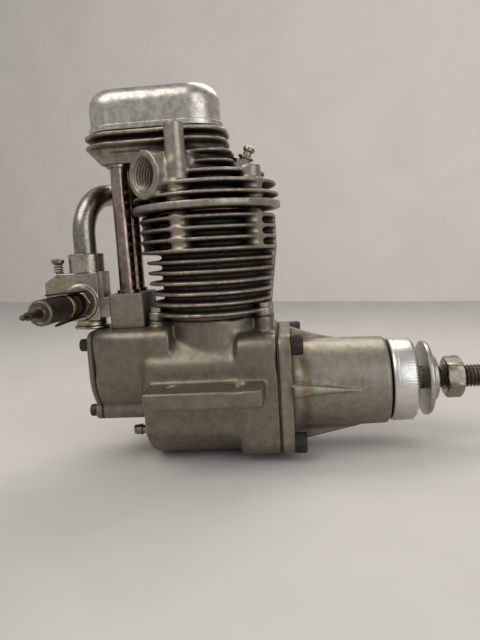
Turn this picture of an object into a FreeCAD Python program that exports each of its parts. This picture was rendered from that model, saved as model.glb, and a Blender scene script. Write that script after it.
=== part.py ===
import FreeCAD, Part
import math
import os
from types import SimpleNamespace

import Sketcher
from FreeCAD import Placement, Rotation, Vector

# Model four-stroke glow engine, single upright cylinder, overhead valves worked by two pushrods.
# Millimetres. X runs forward along the crankshaft, Y to the port side, Z up.
# The origin lies on the crank axis, centred between the four lug holes, on the underside of the lugs.

dimensions = {
    # crankcase
    "caseRadius": 23.2,
    "caseRear": -22.5,
    "caseFront": 23.8,
    "caseHalfWidth": 20,
    "caseRearRounding": 3,
    "chamberRadius": 18.6,
    "chamberRear": -11,
    "barrelAxis": 1.2,
    "neckRadius": 17,
    "neckTop": 26,
    "frontSquareHalf": 20.5,
    "frontSquareCorner": 5,
    "frontSquareRear": 10,
    "frontScrewOffset": 16.7,
    # beam lugs
    "lugReach": 12.7,
    "lugThickness": 5.75,
    "lugRear": -19,
    "lugFront": 19.2,
    "lugRootRounding": 1.6,
    "lugCorner": 1.2,
    "lugHoleRadius": 2.15,
    "lugHoleSpacing": 23,
    "lugHoleGauge": 48,
    # rear cam box
    "camBoxRear": -38.5,
    "camBoxFront": -12,
    "camBoxHalfWidth": 18,
    "camBoxTop": 24,
    "camBoxSideLow": 8,
    "camBoxBottom": -8,
    "camBoxCorner": 4,
    "camCavityHalf": 12,
    "camCavityFront": -18.8,
    "camBoxWall": 2.5,
    "camCoverThickness": 1.8,
    "camScrewHigh": 19.4,
    "camScrewWide": 14.4,
    "camScrewLow": -4.8,
    "camScrewNarrow": 10.2,
    "camEarRadius": 3.2,
    "camEarRise": 0.4,
    "camPanelRise": 0.6,
    "driveBushOuter": 6,
    "camBushOuter": 4,
    "camBushLength": 4.5,
    "breatherAside": -6,
    "breatherHeight": -13.8,
    "breatherRadius": 1.4,
    "tailRadius": 2.5,
    "tailBoss": 3.2,
    # front housing and bearings
    "gasketThickness": 0.3,
    "housingFlange": 4.3,
    "housingFront": 61.5,
    "housingRootRadius": 16.1,
    "housingTipRadius": 15.4,
    "housingHollow": 10.5,
    "ribReach": 20.4,
    "ribEnd": 51,
    "ribWidth": 3.6,
    "rearBearingBore": 7.5,
    "rearBearingOuter": 14,
    "rearBearingWidth": 7,
    "rearBearingStart": 13.2,
    "frontBearingBore": 4.5,
    "frontBearingOuter": 10,
    "frontBearingWidth": 6,
    "frontBearingStart": 54.6,
    # crankshaft and propeller drive
    "crankThrow": 11,
    "webRadius": 17.2,
    "webRear": 5.2,
    "webThickness": 6.6,
    "crankpinRadius": 4,
    "shaftRadius": 6.5,
    "threadRadius": 4,
    "freeThreadRadius": 3.75,
    "freeThreadGap": 0.25,
    "shaftEnd": 102,
    "hubRear": 62,
    "hubLength": 8.8,
    "hubRadius": 14.66,
    "washerRear": 74.2,
    "washerThickness": 2,
    "washerRadius": 13.07,
    "washerBossRadius": 8,
    "washerBossLength": 2.6,
    "nutRear": 81.8,
    "nutLength": 5.95,
    "nutAcrossFlats": 13,
    "nutTurn": 15.4,
    # barrel, liner and piston
    "barrelHeight": 36.2,
    "barrelRootRadius": 17,
    "linerRadius": 13.5,
    "boreRadius": 12,
    "linerSkirt": 5,
    "linerFlange": 1.5,
    "linerFlangeRadius": 15.2,
    "finPitch": 3.545,
    "finStart": 2.2,
    "lowFinRadius": 21.5,
    "lowFinStep": 0.2,
    "highFinRadius": 24.1,
    "finTip": 1.1,
    "finRoot": 1.9,
    "boltCircle": 20.5,
    "boltRadius": 1.5,
    "boltHead": 2.75,
    "boltSink": 4,
    "boltGrip": 11,
    "boltColumnRadius": 3.1,
    "headColumnRadius": 3.6,
    "postAcross": 18.6,
    "postAside": 8.7,
    "postRadius": 3,
    "pistonTop": 60.3,
    "pistonLength": 20,
    "pinBelowCrown": 9.8,
    "pinRadius": 2.5,
    "pinHalfLength": 10.4,
    "rodThickness": 7,
    "rodBigEnd": 5.6,
    "rodSmallEnd": 4.2,
    # cylinder head
    "headGasket": 0.4,
    "headBaseFin": 2.4,
    "headBaseRadius": 25.9,
    "headFinRadius": 25.6,
    "headFinMiddleRadius": 24.8,
    "headFinTopRadius": 20.9,
    "headFinStart": 4.8,
    "headFinPitch": 3.55,
    "headCoreRadius": 16,
    "headCoreHeight": 13.4,
    "combustionRadius": 11.4,
    "combustionDepth": 3,
    "exhaustHeight": 11.6,
    "exhaustReach": 26.4,
    "exhaustAngle": 229.1,
    "exhaustRingRadius": 7.85,
    "exhaustBoreRadius": 5.5,
    "exhaustSeatDepth": 8,
    "exhaustPortRadius": 4.7,
    "intakeAside": 15,
    "intakeHeight": 10,
    "intakeReach": 20.5,
    "intakeStubRadius": 6.4,
    "passageRadius": 4,
    "plugForward": 13.2,
    "plugHeight": 14.4,
    "plugTilt": 25,
    "plugThread": 3.15,
    "plugSeat": 4.6,
    # rocker box and cover
    "boxFloor": 86.5,
    "boxTop": 90.6,
    "coverRear": -38.9,
    "coverFront": 6.75,
    "coverHalf": 10.6,
    "coverTop": 105.5,
    "coverWall": 1.4,
    "coverRounding": 6,
    "coverBead": 0.6,
    "boxFinHalf": 15.4,
    "boxFinRear": -40.1,
    "boxFinFront": 9.2,
    "boxFinHigh": 89,
    "boxFinLow": 85.8,
    "boxFinCorner": 12,
    "wellFloor": 80.4,
    "wellRadius": 3.8,
    "tubeSocket": 80,
    "coverScrewRear": -22.2,
    "coverScrewFront": -5.2,
    "coverScrewSeat": 100.3,
    "coverScrewGrip": 9,
    # valve gear
    "camAxis": -27.8,
    "camHeight": 12.5,
    "camBase": 3.6,
    "camLift": 2.6,
    "lobeWidth": 4,
    "camShaftRadius": 3,
    "camGearRadius": 7.7,
    "driveGearRadius": 4.8,
    "gearTeeth": 9,
    "tappetAside": 5.5,
    "tappetRadius": 2.8,
    "tappetTop": 33,
    "blockTop": 36,
    "blockRear": -33.8,
    "blockFront": -21.8,
    "blockHalf": 10.5,
    "tubeRadius": 3.05,
    "tubeWall": 0.5,
    "tubeSeat": 1.3,
    "pushrodRadius": 1,
    "rodTip": 94.2,
    "rockerAxis": -13,
    "rockerHeight": 96,
    "rockerShaftRadius": 2,
    "rockerHub": 3.6,
    "valveAxis": 0.5,
    "valveAside": 5,
    "valveHeadRadius": 4.6,
    "seatRadius": 4.85,
    "seatDepth": 2,
    "guideRadius": 2,
    "stemRadius": 1.25,
    "springRadius": 2.6,
    "springWire": 0.4,
    "retainerBase": 91,
    "runningGap": 0.15,
    # carburettor
    "carbRear": -55.7,
    "carbFront": -37,
    "carbNear": -11.5,
    "carbFar": -0.5,
    "carbBottom": 27.4,
    "carbTop": 44.2,
    "carbAxis": -42,
    "carbCut": 3,
    "barrelCentre": -43.4,
    "barrelLevel": 33.8,
    "throttleRadius": 5,
    "spigotRadius": 1.8,
    "armLength": 12,
    "needleNear": -44,
    "knobDish": 1.2,
    "spindleNear": -55,
    "spindleRoot": 1.35,
    "spindleTip": 0.85,
    "needleRadius": 3.9,
    "needleThread": 2,
    "idleRadius": 1,
    "idleAcross": -51.4,
    "knobRear": -25.4,
    "nippleAside": -19.5,
    "nippleLength": 14.5,
    "nippleTilt": 8,
    "nippleRadius": 1.4,
    "leafLength": 9,
    "collarRadius": 6.1,
    "collarHeight": 6.4,
    "airHornBottom": 24.4,
    "pipeRadius": 3.9,
    "pipeWall": 0.7,
    # fasteners: M4 front, M3.5 head, M3 barrel and cover, M2.5 cam cover
    "screwFourRadius": 2,
    "screwFourHead": 3.5,
    "frontScrewLength": 14,
    "screwThreeRadius": 1.5,
    "screwThreeHead": 2.75,
    "barrelScrewGrip": 9,
    "screwSmallRadius": 1.25,
    "screwSmallHead": 2.15,
    "smallScrewLength": 7,
}

doc = FreeCAD.newDocument("FourStrokeEngine")
sheet = doc.addObject("Spreadsheet::Sheet", "Dimensions")
for row, (alias, number) in enumerate(dimensions.items(), 1):
    sheet.set(f"A{row}", alias)
    sheet.set(f"B{row}", str(number))
    sheet.setAlias(f"B{row}", alias)
doc.recompute()


class Size:
    """A measure together with the formula that gives it from the cells of the sheet."""

    def __init__(self, value, formula=None):
        self.value = float(value)
        self.formula = formula or repr(float(value))

    def __float__(self):
        return self.value

    def __add__(self, other):
        other = as_size(other)
        return Size(self.value + other.value, f"({self.formula} + {other.formula})")

    def __sub__(self, other):
        other = as_size(other)
        return Size(self.value - other.value, f"({self.formula} - {other.formula})")

    def __mul__(self, other):
        other = as_size(other)
        return Size(self.value * other.value, f"({self.formula} * {other.formula})")

    def __truediv__(self, other):
        other = as_size(other)
        return Size(self.value / other.value, f"({self.formula} / {other.formula})")

    def __neg__(self):
        return Size(-self.value, f"(0 - {self.formula})")

    __radd__ = __add__
    __rmul__ = __mul__

    def __rsub__(self, other):
        return as_size(other) - self

    def __rtruediv__(self, other):
        return as_size(other) / self


def as_size(number):
    return number if isinstance(number, Size) else Size(number)


def root(size):
    return Size(math.sqrt(size.value), f"sqrt({size.formula})")


d = SimpleNamespace(**{alias: Size(sheet.get(alias), "Dimensions." + alias) for alias in dimensions})
pieces = {}

# Levels and stations that several pieces share
deck = d.neckTop + d.barrelHeight
headBase = deck + d.headGasket
coverBase = d.boxTop + d.gasketThickness
camBoxBack = d.camBoxRear - d.gasketThickness
housingBase = d.caseFront + d.gasketThickness
webFront = d.webRear + d.webThickness
pinTop = d.pistonTop - d.pinBelowCrown
tappetFoot = d.camHeight + d.camBase + d.camLift + d.runningGap
rockerSpan = d.rockerAxis - d.camAxis
carbMiddle = (d.carbNear + d.carbFar) / 2
fifth = math.radians(72)


def bind(item, path, size):
    """Give a property its size, tied to the sheet where the size comes from a cell."""
    if isinstance(size, Size):
        item.setExpression(path, size.formula)
    else:
        setattr(item, path, size)


def place(item, x=0, y=0, z=0, axis=(0, 0, 1), angle=0):
    item.Placement = Placement(Vector(float(x), float(y), float(z)), Rotation(Vector(*axis), float(angle)))
    for path, size in ((".Placement.Base.x", x), (".Placement.Base.y", y), (".Placement.Base.z", z)):
        if isinstance(size, Size):
            item.setExpression(path, size.formula)


def keep(item, name):
    """Count an object as one of the engine's pieces."""
    item.Label = name
    pieces[name] = item
    return item


def together(name, *members):
    """Count several fixed pieces as one node."""
    item = doc.addObject("Part::Compound", name)
    item.Links = [pieces.pop(member) for member in members]
    return keep(item, name)


def new_body(name, x=0, y=0, z=0, axis=(0, 0, 1), angle=0):
    body = doc.addObject("PartDesign::Body", name)
    place(body, x, y, z, axis, angle)
    return keep(body, name)


def fix_point(sk, geometry, end, u, v):
    """Hold a point of the sketch at (u, v) from the origin of its plane."""
    for kind, size, line in (("DistanceX", u, -2), ("DistanceY", v, -1)):
        if float(size) == 0 and not isinstance(size, Size):
            sk.addConstraint(Sketcher.Constraint("PointOnObject", geometry, end, line))
            continue
        number = sk.addConstraint(Sketcher.Constraint(kind, -1, 1, geometry, end, float(size)))
        if isinstance(size, Size):
            sk.setExpression(f"Constraints[{number}]", size.formula)


def add_outline(sk, corners):
    """Closed outline. A corner is (u, v), or (u, v, (cu, cv), turn) where an arc about (cu, cv) leaves it."""
    ends = []
    for here, following in zip(corners, corners[1:] + corners[:1]):
        start = Vector(float(here[0]), float(here[1]), 0)
        end = Vector(float(following[0]), float(following[1]), 0)
        if len(here) == 2:
            number = sk.addGeometry(Part.LineSegment(start, end))
            ends.append((number, 1, 2))
            continue
        centre = Vector(float(here[2][0]), float(here[2][1]), 0)
        first, last = (start, end) if here[3] > 0 else (end, start)
        angles = [math.atan2(p.y - centre.y, p.x - centre.x) for p in (first, last)]
        if angles[1] <= angles[0]:
            angles[1] += 2 * math.pi
        circle = Part.Circle(centre, Vector(0, 0, 1), (first - centre).Length)
        number = sk.addGeometry(Part.ArcOfCircle(circle, angles[0], angles[1]))
        ends.append((number, 1, 2) if here[3] > 0 else (number, 2, 1))
    for index, corner in enumerate(corners):
        number, head, tail = ends[index]
        before = ends[index - 1]
        sk.addConstraint(Sketcher.Constraint("Coincident", before[0], before[2], number, head))
        fix_point(sk, number, head, corner[0], corner[1])
        if len(corner) > 2:
            following = corners[(index + 1) % len(corners)]
            upright = abs(float(following[1]) - float(corner[1])) > abs(float(following[0]) - float(corner[0]))
            size = corner[2][0] if upright else corner[2][1]
            kind, line = ("DistanceX", -2) if upright else ("DistanceY", -1)
            if float(size) == 0:
                sk.addConstraint(Sketcher.Constraint("PointOnObject", number, 3, line))
            else:
                at = sk.addConstraint(Sketcher.Constraint(kind, -1, 1, number, 3, float(size)))
                if isinstance(size, Size):
                    sk.setExpression(f"Constraints[{at}]", size.formula)


def add_circle(sk, u, v, radius):
    number = sk.addGeometry(Part.Circle(Vector(float(u), float(v), 0), Vector(0, 0, 1), float(radius)))
    fix_point(sk, number, 3, u, v)
    at = sk.addConstraint(Sketcher.Constraint("Radius", number, float(radius)))
    if isinstance(radius, Size):
        sk.setExpression(f"Constraints[{at}]", radius.formula)


def draw(body, name, plane, outlines=(), circles=(), lift=0, base=(0, 0), axis=(0, 0, 1), angle=0):
    """A sketch on one of the body's own planes, lifted along the plane's normal and turned if need be."""
    sk = body.newObject("Sketcher::SketchObject", name)
    support = next(feature for feature in body.Origin.OriginFeatures if feature.Role == plane)
    sk.AttachmentSupport = [(support, "")]
    sk.MapMode = "FlatFace"
    offset = Vector(float(base[0]), float(base[1]), float(lift))
    sk.AttachmentOffset = Placement(offset, Rotation(Vector(*axis), float(angle)))
    for path, size in (("x", base[0]), ("y", base[1]), ("z", lift)):
        if isinstance(size, Size):
            sk.setExpression(".AttachmentOffset.Base." + path, size.formula)
    for outline in outlines:
        add_outline(sk, outline)
    for circle in circles:
        add_circle(sk, *circle)
    return sk


def feature(body, kind, name, sk, length=None, reverse=False):
    item = body.newObject("PartDesign::" + kind, name)
    item.Profile = sk
    item.Reversed = reverse
    if length is not None:
        bind(item, "Length", length)
    body.Tip = item
    return item


def pad(body, name, sk, length, reverse=False):
    return feature(body, "Pad", name, sk, length, reverse)


def pocket(body, name, sk, length, reverse=False):
    return feature(body, "Pocket", name, sk, length, reverse)


def revolve(body, name, sk, line):
    item = feature(body, "Revolution", name, sk)
    item.ReferenceAxis = (sk, [line])
    item.Angle = 360
    return item


def ring_pattern(body, name, originals, line, count):
    item = body.newObject("PartDesign::PolarPattern", name)
    item.Originals = originals
    item.Axis = (originals[0].Profile[0], [line])
    item.Angle = 360
    item.Occurrences = count
    body.Tip = item
    return item


def round_edges(body, name, radius, chosen):
    """Fillet the edges of the body so far that the test picks."""
    doc.recompute()
    base = body.Tip
    names = [f"Edge{n}" for n, edge in enumerate(base.Shape.Edges, 1) if chosen(edge)]
    item = body.newObject("PartDesign::Fillet", name)
    item.Base = (base, names)
    bind(item, "Radius", radius)
    body.Tip = item
    return item


def box_outline(left, right, low, high, corner):
    """Rectangle with four rounded corners."""
    return [
        (left + corner, low),
        (right - corner, low, (right - corner, low + corner), 1),
        (right, low + corner),
        (right, high - corner, (right - corner, high - corner), 1),
        (right - corner, high),
        (left + corner, high, (left + corner, high - corner), 1),
        (left, high - corner),
        (left, low + corner, (left + corner, low + corner), 1),
    ]


def stadium(left, right, half):
    """Straight sides and round ends."""
    return [
        (left + half, -half),
        (right - half, -half, (right - half, 0), 1),
        (right - half, half),
        (left + half, half, (left + half, 0), 1),
    ]


def hexagon(acrossFlats):
    corner = 1 / math.sqrt(3)
    angles = [math.radians(30 + 60 * n) for n in range(6)]
    return [(acrossFlats * (corner * math.cos(a)), acrossFlats * (corner * math.sin(a))) for a in angles]


def turned(name, along, profile, x=0, y=0, z=0, axis=(0, 0, 1), angle=0):
    """A piece turned about its own X, Y or Z axis. The profile lists (station, radius) round the section."""
    body = new_body(name, x, y, z, axis, angle)
    plane = {"X": "XZ_Plane", "Y": "YZ_Plane", "Z": "XZ_Plane"}[along]
    if along == "Z":
        outline = [(corner[1], corner[0]) + tuple(
            ((item[1], item[0]) if isinstance(item, tuple) else -item) for item in corner[2:]) for corner in profile]
    else:
        outline = profile
    sk = draw(body, name + "_section", plane, [outline])
    revolve(body, name + "_turning", sk, "V_Axis" if along == "Z" else "H_Axis")
    return body


def tube(outer, inner, start, end):
    return [(start, inner), (start, outer), (end, outer), (end, inner)]


def copies(name, master, spots):
    """One node that holds the same piece at several places."""
    item = doc.addObject("Part::Feature", name)
    item.Shape = Part.makeCompound([master.transformed(spot.toMatrix(), True) for spot in spots])
    return keep(item, name)


def at(x, y, z, axis=(0, 0, 1), angle=0):
    return Placement(Vector(float(x), float(y), float(z)), Rotation(Vector(*axis), float(angle)))


def cap_screw(radius, head, length):
    """Socket cap screw standing on the origin: head up, shank down."""
    radius, head, length = float(radius), float(head), float(length)
    height = radius * 2
    solid = Part.makeCylinder(head, height).fuse(Part.makeCylinder(radius, length, Vector(0, 0, -length)))
    socket = Part.makePolygon([
        Vector(radius * 0.95 * math.cos(math.radians(60 * n)), radius * 0.95 * math.sin(math.radians(60 * n)), height)
        for n in range(7)])
    solid = solid.cut(Part.Face(socket).extrude(Vector(0, 0, -height * 0.5)))
    rim = [edge for edge in solid.Edges if abs(edge.BoundBox.ZMin - height) < 1e-6 and edge.Length > 4 * head]
    return solid.makeChamfer(height * 0.1, rim)


# Crankcase: a cylinder about the crank with a flat down each side, a neck for the barrel, a square front
# with screw bosses, two beam lugs and the cam box at the rear, all one casting
def cam_box_outline(half, top, corner, sideLow, bottom):
    depth = sideLow - bottom
    centre = bottom + (half * half + depth * depth) / (2 * depth)
    return [
        (-half, sideLow, (0, centre), 1),
        (half, sideLow),
        (half, top - corner, (half - corner, top - corner), 1),
        (half - corner, top),
        (corner - half, top, (corner - half, top - corner), 1),
        (-half, top - corner),
    ]


camBoxShape = cam_box_outline(d.camBoxHalfWidth, d.camBoxTop, d.camBoxCorner, d.camBoxSideLow, d.camBoxBottom)
camCavityShape = cam_box_outline(
    d.camCavityHalf, d.camBoxTop - d.camBoxWall, Size(2), d.camBoxSideLow - 4, d.camBoxBottom + d.camBoxWall - 0.5)
camScrews = [(side * across, level) for across, level in (
    (d.camScrewWide, d.camScrewHigh), (d.camScrewNarrow, d.camScrewLow)) for side in (1, -1)]
camEars = [(y, z, d.camEarRadius) for y, z in camScrews[2:]]
frontSquare = box_outline(
    -d.frontSquareHalf, d.frontSquareHalf, -d.frontSquareHalf, d.frontSquareHalf, d.frontSquareCorner)
frontScrews = [(across * d.frontScrewOffset, up * d.frontScrewOffset) for across in (1, -1) for up in (1, -1)]
posts = [(d.barrelAxis + across * d.postAcross, aside * d.postAside) for across in (1, -1) for aside in (1, -1)]


def crankcase():
    body = new_body("crankcase")
    flatTop = root(d.caseRadius * d.caseRadius - d.caseHalfWidth * d.caseHalfWidth)
    drum = [
        (d.caseHalfWidth, -flatTop),
        (d.caseHalfWidth, flatTop, (0, 0), 1),
        (-d.caseHalfWidth, flatTop),
        (-d.caseHalfWidth, -flatTop, (0, 0), 1),
    ]
    pad(body, "neck", draw(body, "neck_circle", "XY_Plane", circles=[(d.barrelAxis, 0, d.neckRadius)]), d.neckTop)
    pad(body, "drum", draw(body, "drum_outline", "YZ_Plane", [drum], lift=d.caseRear), d.caseFront - d.caseRear)
    rear = float(d.caseRear)
    round_edges(body, "rear_rounding", d.caseRearRounding,
                lambda edge: abs(edge.BoundBox.XMin - rear) < 1e-4 and abs(edge.BoundBox.XMax - rear) < 1e-4)
    pad(body, "square", draw(body, "square_outline", "YZ_Plane", [frontSquare], lift=d.frontSquareRear),
        d.caseFront - d.frontSquareRear)
    pad(body, "cam_box", draw(body, "cam_box_outline", "YZ_Plane", [camBoxShape], lift=d.camBoxRear),
        d.camBoxFront - d.camBoxRear)
    for number, ear in enumerate(camEars):
        pad(body, f"ear{number}", draw(body, f"ear_circle{number}", "YZ_Plane", circles=[ear], lift=d.camBoxRear),
            d.caseRear - d.camBoxRear + 4)
    for number, (x, y) in enumerate(posts):
        sk = draw(body, f"post_circle{number}", "XY_Plane", circles=[(x, y, d.postRadius)], lift=8)
        pad(body, f"post{number}", sk, d.neckTop - 8)
    # the lugs run straight through the case, with a small round where each leaves its side
    edge = d.caseHalfWidth + d.lugReach
    foot = d.caseHalfWidth + d.lugRootRounding
    shoulder = d.lugThickness + d.lugRootRounding
    lugs = [
        (-edge, 0),
        (edge, 0),
        (edge, d.lugThickness),
        (foot, d.lugThickness, (foot, shoulder), -1),
        (d.caseHalfWidth, shoulder),
        (-d.caseHalfWidth, shoulder, (-foot, shoulder), -1),
        (-foot, d.lugThickness),
        (-edge, d.lugThickness),
    ]
    pad(body, "lugs", draw(body, "lug_section", "YZ_Plane", [lugs], lift=d.lugRear), d.lugFront - d.lugRear)
    tip = float(edge)
    round_edges(body, "lug_corners", d.lugCorner, lambda line: abs(abs(line.BoundBox.Center.y) - tip) < 1e-4
                and line.BoundBox.XLength < 1e-4 and line.BoundBox.YLength < 1e-4)
    holes = [(x * d.lugHoleSpacing / 2, y * d.lugHoleGauge / 2, d.lugHoleRadius) for x in (1, -1) for y in (1, -1)]
    pocket(body, "lug_holes", draw(body, "lug_hole_circles", "XY_Plane", circles=holes, lift=shoulder), shoulder)
    # crank chamber, liner passage and the bore for the rear bush
    pocket(body, "chamber", draw(body, "chamber_circle", "YZ_Plane", circles=[(0, 0, d.chamberRadius)],
                                 lift=d.caseFront), d.caseFront - d.chamberRear)
    pocket(body, "liner_passage", draw(body, "liner_circle", "XY_Plane",
                                       circles=[(d.barrelAxis, 0, d.linerRadius + 0.2)], lift=d.neckTop), d.neckTop)
    pocket(body, "cam_cavity", draw(body, "cam_cavity_outline", "YZ_Plane", [camCavityShape], lift=d.camBoxRear),
           d.camCavityFront - d.camBoxRear, True)
    pocket(body, "bush_bore", draw(body, "bush_circle", "YZ_Plane", circles=[(0, 0, d.driveBushOuter)],
                                   lift=d.chamberRear), d.chamberRear - d.camCavityFront)
    tappets = [(d.camAxis, side * d.tappetAside, d.tappetRadius + 0.05) for side in (1, -1)]
    pocket(body, "tappet_bores", draw(body, "tappet_circles", "XY_Plane", circles=tappets, lift=d.camBoxTop),
           d.camBoxWall)
    for side, reverse in ((1, True), (-1, False)):
        sk = draw(body, f"cam_bush_circle{side + 1}", "XZ_Plane", circles=[(d.camAxis, d.camHeight, d.camBushOuter)],
                  lift=side * d.camCavityHalf)
        pocket(body, f"cam_bush_bore{side + 1}", sk, d.camBushLength, reverse)
    pocket(body, "cam_screw_holes", draw(body, "cam_screw_circles", "YZ_Plane", lift=d.camBoxRear,
                                         circles=[(y, z, d.screwSmallRadius) for y, z in camScrews]),
           d.smallScrewLength, True)
    pocket(body, "front_screw_holes", draw(body, "front_screw_circles", "YZ_Plane", lift=d.caseFront,
                                           circles=[(y, z, d.screwFourRadius) for y, z in frontScrews]),
           d.frontScrewLength - d.housingFlange)
    pocket(body, "barrel_screw_holes", draw(body, "barrel_screw_circles", "XY_Plane", lift=d.neckTop,
                                            circles=[(x, y, d.screwThreeRadius) for x, y in posts]), d.barrelScrewGrip)
    pocket(body, "breather_hole", draw(body, "breather_circle", "YZ_Plane", lift=d.caseRear,
                                       circles=[(d.breatherAside, d.breatherHeight, d.breatherRadius)]),
           d.chamberRear - d.caseRear, True)


def cam_cover():
    """Rear cover plate with the tail bearing of the drive shaft, and its gasket."""
    body = new_body("cam_cover")
    thickness = d.camCoverThickness
    outside = float(camBoxBack - thickness)
    pad(body, "plate", draw(body, "plate_outline", "YZ_Plane", [camBoxShape], lift=camBoxBack),
        thickness - d.camPanelRise, True)
    inset = d.camPanelRise
    panel = cam_box_outline(d.camBoxHalfWidth - inset, d.camBoxTop - inset, d.camBoxCorner - inset,
                            d.camBoxSideLow, d.camBoxBottom + inset)
    pad(body, "panel", draw(body, "panel_outline", "YZ_Plane", [panel], lift=camBoxBack), thickness, True)
    for number, ear in enumerate(camEars):
        pad(body, f"cover_ear{number}", draw(body, f"cover_ear_circle{number}", "YZ_Plane", circles=[ear],
                                             lift=camBoxBack), thickness + d.camEarRise, True)
    pad(body, "tail_boss", draw(body, "tail_boss_circle", "YZ_Plane", circles=[(0, 0, d.tailRadius + 2)],
                                lift=camBoxBack), d.tailBoss)
    pocket(body, "tail_bore", draw(body, "tail_bore_circle", "YZ_Plane", circles=[(0, 0, d.tailRadius + 0.05)],
                                   lift=camBoxBack + d.tailBoss), d.tailBoss)
    pocket(body, "cover_screw_holes", draw(body, "cover_screw_circles", "YZ_Plane", lift=camBoxBack,
                                           circles=[(y, z, d.screwSmallRadius + 0.1) for y, z in camScrews]),
           thickness + d.camEarRise)
    gasket = new_body("cam_cover_gasket")
    pad(gasket, "sheet", draw(gasket, "sheet_outline", "YZ_Plane", [camBoxShape], lift=camBoxBack),
        d.gasketThickness)
    for number, ear in enumerate(camEars):
        pad(gasket, f"sheet_ear{number}", draw(gasket, f"sheet_ear_circle{number}", "YZ_Plane", circles=[ear],
                                               lift=camBoxBack), d.gasketThickness)
    pocket(gasket, "sheet_window", draw(gasket, "sheet_window_outline", "YZ_Plane", [camCavityShape],
                                        lift=d.camBoxRear), d.gasketThickness)
    pocket(gasket, "sheet_holes", draw(gasket, "sheet_circles", "YZ_Plane", lift=d.camBoxRear, circles=[
        (y, z, d.screwSmallRadius + 0.1) for y, z in camScrews]), d.gasketThickness)
    screw = cap_screw(d.screwSmallRadius, d.screwSmallHead, d.smallScrewLength)
    copies("cam_cover_screws", screw, [
        at(outside - (d.camEarRise if (y, z) in camScrews[2:] else 0), y, z, (0, 1, 0), -90) for y, z in camScrews])


# Front housing: square flange, spigot into the case, tapered nose with four triangular ribs, two bearing seats
def front_housing():
    body = new_body("front_housing")
    base = housingBase
    face = base + d.housingFlange
    pad(body, "flange", draw(body, "flange_outline", "YZ_Plane", [frontSquare], lift=base), d.housingFlange)
    seatEnd = d.rearBearingStart + d.rearBearingWidth
    frontEnd = d.frontBearingStart + d.frontBearingWidth
    spigot = d.chamberRadius - 0.1
    nose = [
        (d.rearBearingStart, d.rearBearingOuter),
        (d.rearBearingStart, spigot),
        (base, spigot),
        (base, d.housingRootRadius + 1.5),
        (face, d.housingRootRadius + 1.5),
        (face + 2.5, d.housingRootRadius),
        (d.housingFront - 0.8, d.housingTipRadius),
        (d.housingFront, d.housingTipRadius - 0.8),
        (d.housingFront, d.frontBearingOuter - 1.6),
        (frontEnd, d.frontBearingOuter - 1.6),
        (frontEnd, d.frontBearingOuter),
        (d.frontBearingStart, d.frontBearingOuter),
        (d.frontBearingStart, d.frontBearingOuter - 1.5),
        (d.frontBearingStart - 3, d.frontBearingOuter - 1.5),
        (d.frontBearingStart - 5, d.housingHollow),
        (seatEnd + 2, d.housingHollow),
        (seatEnd, d.housingHollow + 1),
        (seatEnd, d.rearBearingOuter),
    ]
    revolve(body, "nose", draw(body, "nose_section", "XZ_Plane", [nose]), "H_Axis")
    pocket(body, "flange_bore", draw(body, "flange_bore_circle", "YZ_Plane", lift=face,
                                     circles=[(0, 0, d.housingHollow)]), d.housingFlange)
    rib = [
        (face, d.housingTipRadius - 2),
        (d.ribEnd, d.housingTipRadius - 2),
        (d.ribEnd, d.housingTipRadius),
        (face, d.ribReach),
    ]
    first = pad(body, "rib", draw(body, "rib_outline", "XZ_Plane", [rib], lift=d.ribWidth / 2), d.ribWidth, True)
    ring_pattern(body, "ribs", [first], "H_Axis", 4)
    pocket(body, "flange_screw_holes", draw(body, "flange_screw_circles", "YZ_Plane", lift=face, circles=[
        (y, z, d.screwFourRadius + 0.15) for y, z in frontScrews]), d.housingFlange)
    gasket = new_body("front_gasket")
    pad(gasket, "front_sheet", draw(gasket, "front_sheet_outline", "YZ_Plane", [frontSquare], lift=d.caseFront,
                                    circles=[(0, 0, d.chamberRadius)] + [
                                        (y, z, d.screwFourRadius + 0.15) for y, z in frontScrews]),
        d.gasketThickness)
    screw = cap_screw(d.screwFourRadius, d.screwFourHead, d.frontScrewLength)
    copies("front_housing_screws", screw, [at(face, y, z, (0, 1, 0), 90) for y, z in frontScrews])


def ball_bearing(name, start, bore, outer, width, count):
    """Deep-groove bearing: outer race, inner race and a ring of balls between them."""
    middle = start + width / 2
    pitch = (bore + outer) / 2
    ball = (outer - bore) * 0.29
    groove = ball + 0.03
    lip = (outer - bore) * 0.2
    reach = root(groove * groove - lip * lip)
    turned(name + "_outer_race", "X", [
        (start, pitch + lip),
        (middle - reach, pitch + lip, (middle, pitch), -1),
        (middle + reach, pitch + lip),
        (start + width, pitch + lip),
        (start + width, outer),
        (start, outer),
    ])
    turned(name + "_inner_race", "X", [
        (start, bore),
        (start + width, bore),
        (start + width, pitch - lip),
        (middle + reach, pitch - lip, (middle, pitch), -1),
        (middle - reach, pitch - lip),
        (start, pitch - lip),
    ])
    sphere = Part.makeSphere(float(ball))
    turns = [2 * math.pi * n / count for n in range(count)]
    copies(name + "_balls", sphere, [
        at(middle, pitch * math.cos(turn), pitch * math.sin(turn)) for turn in turns])


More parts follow.
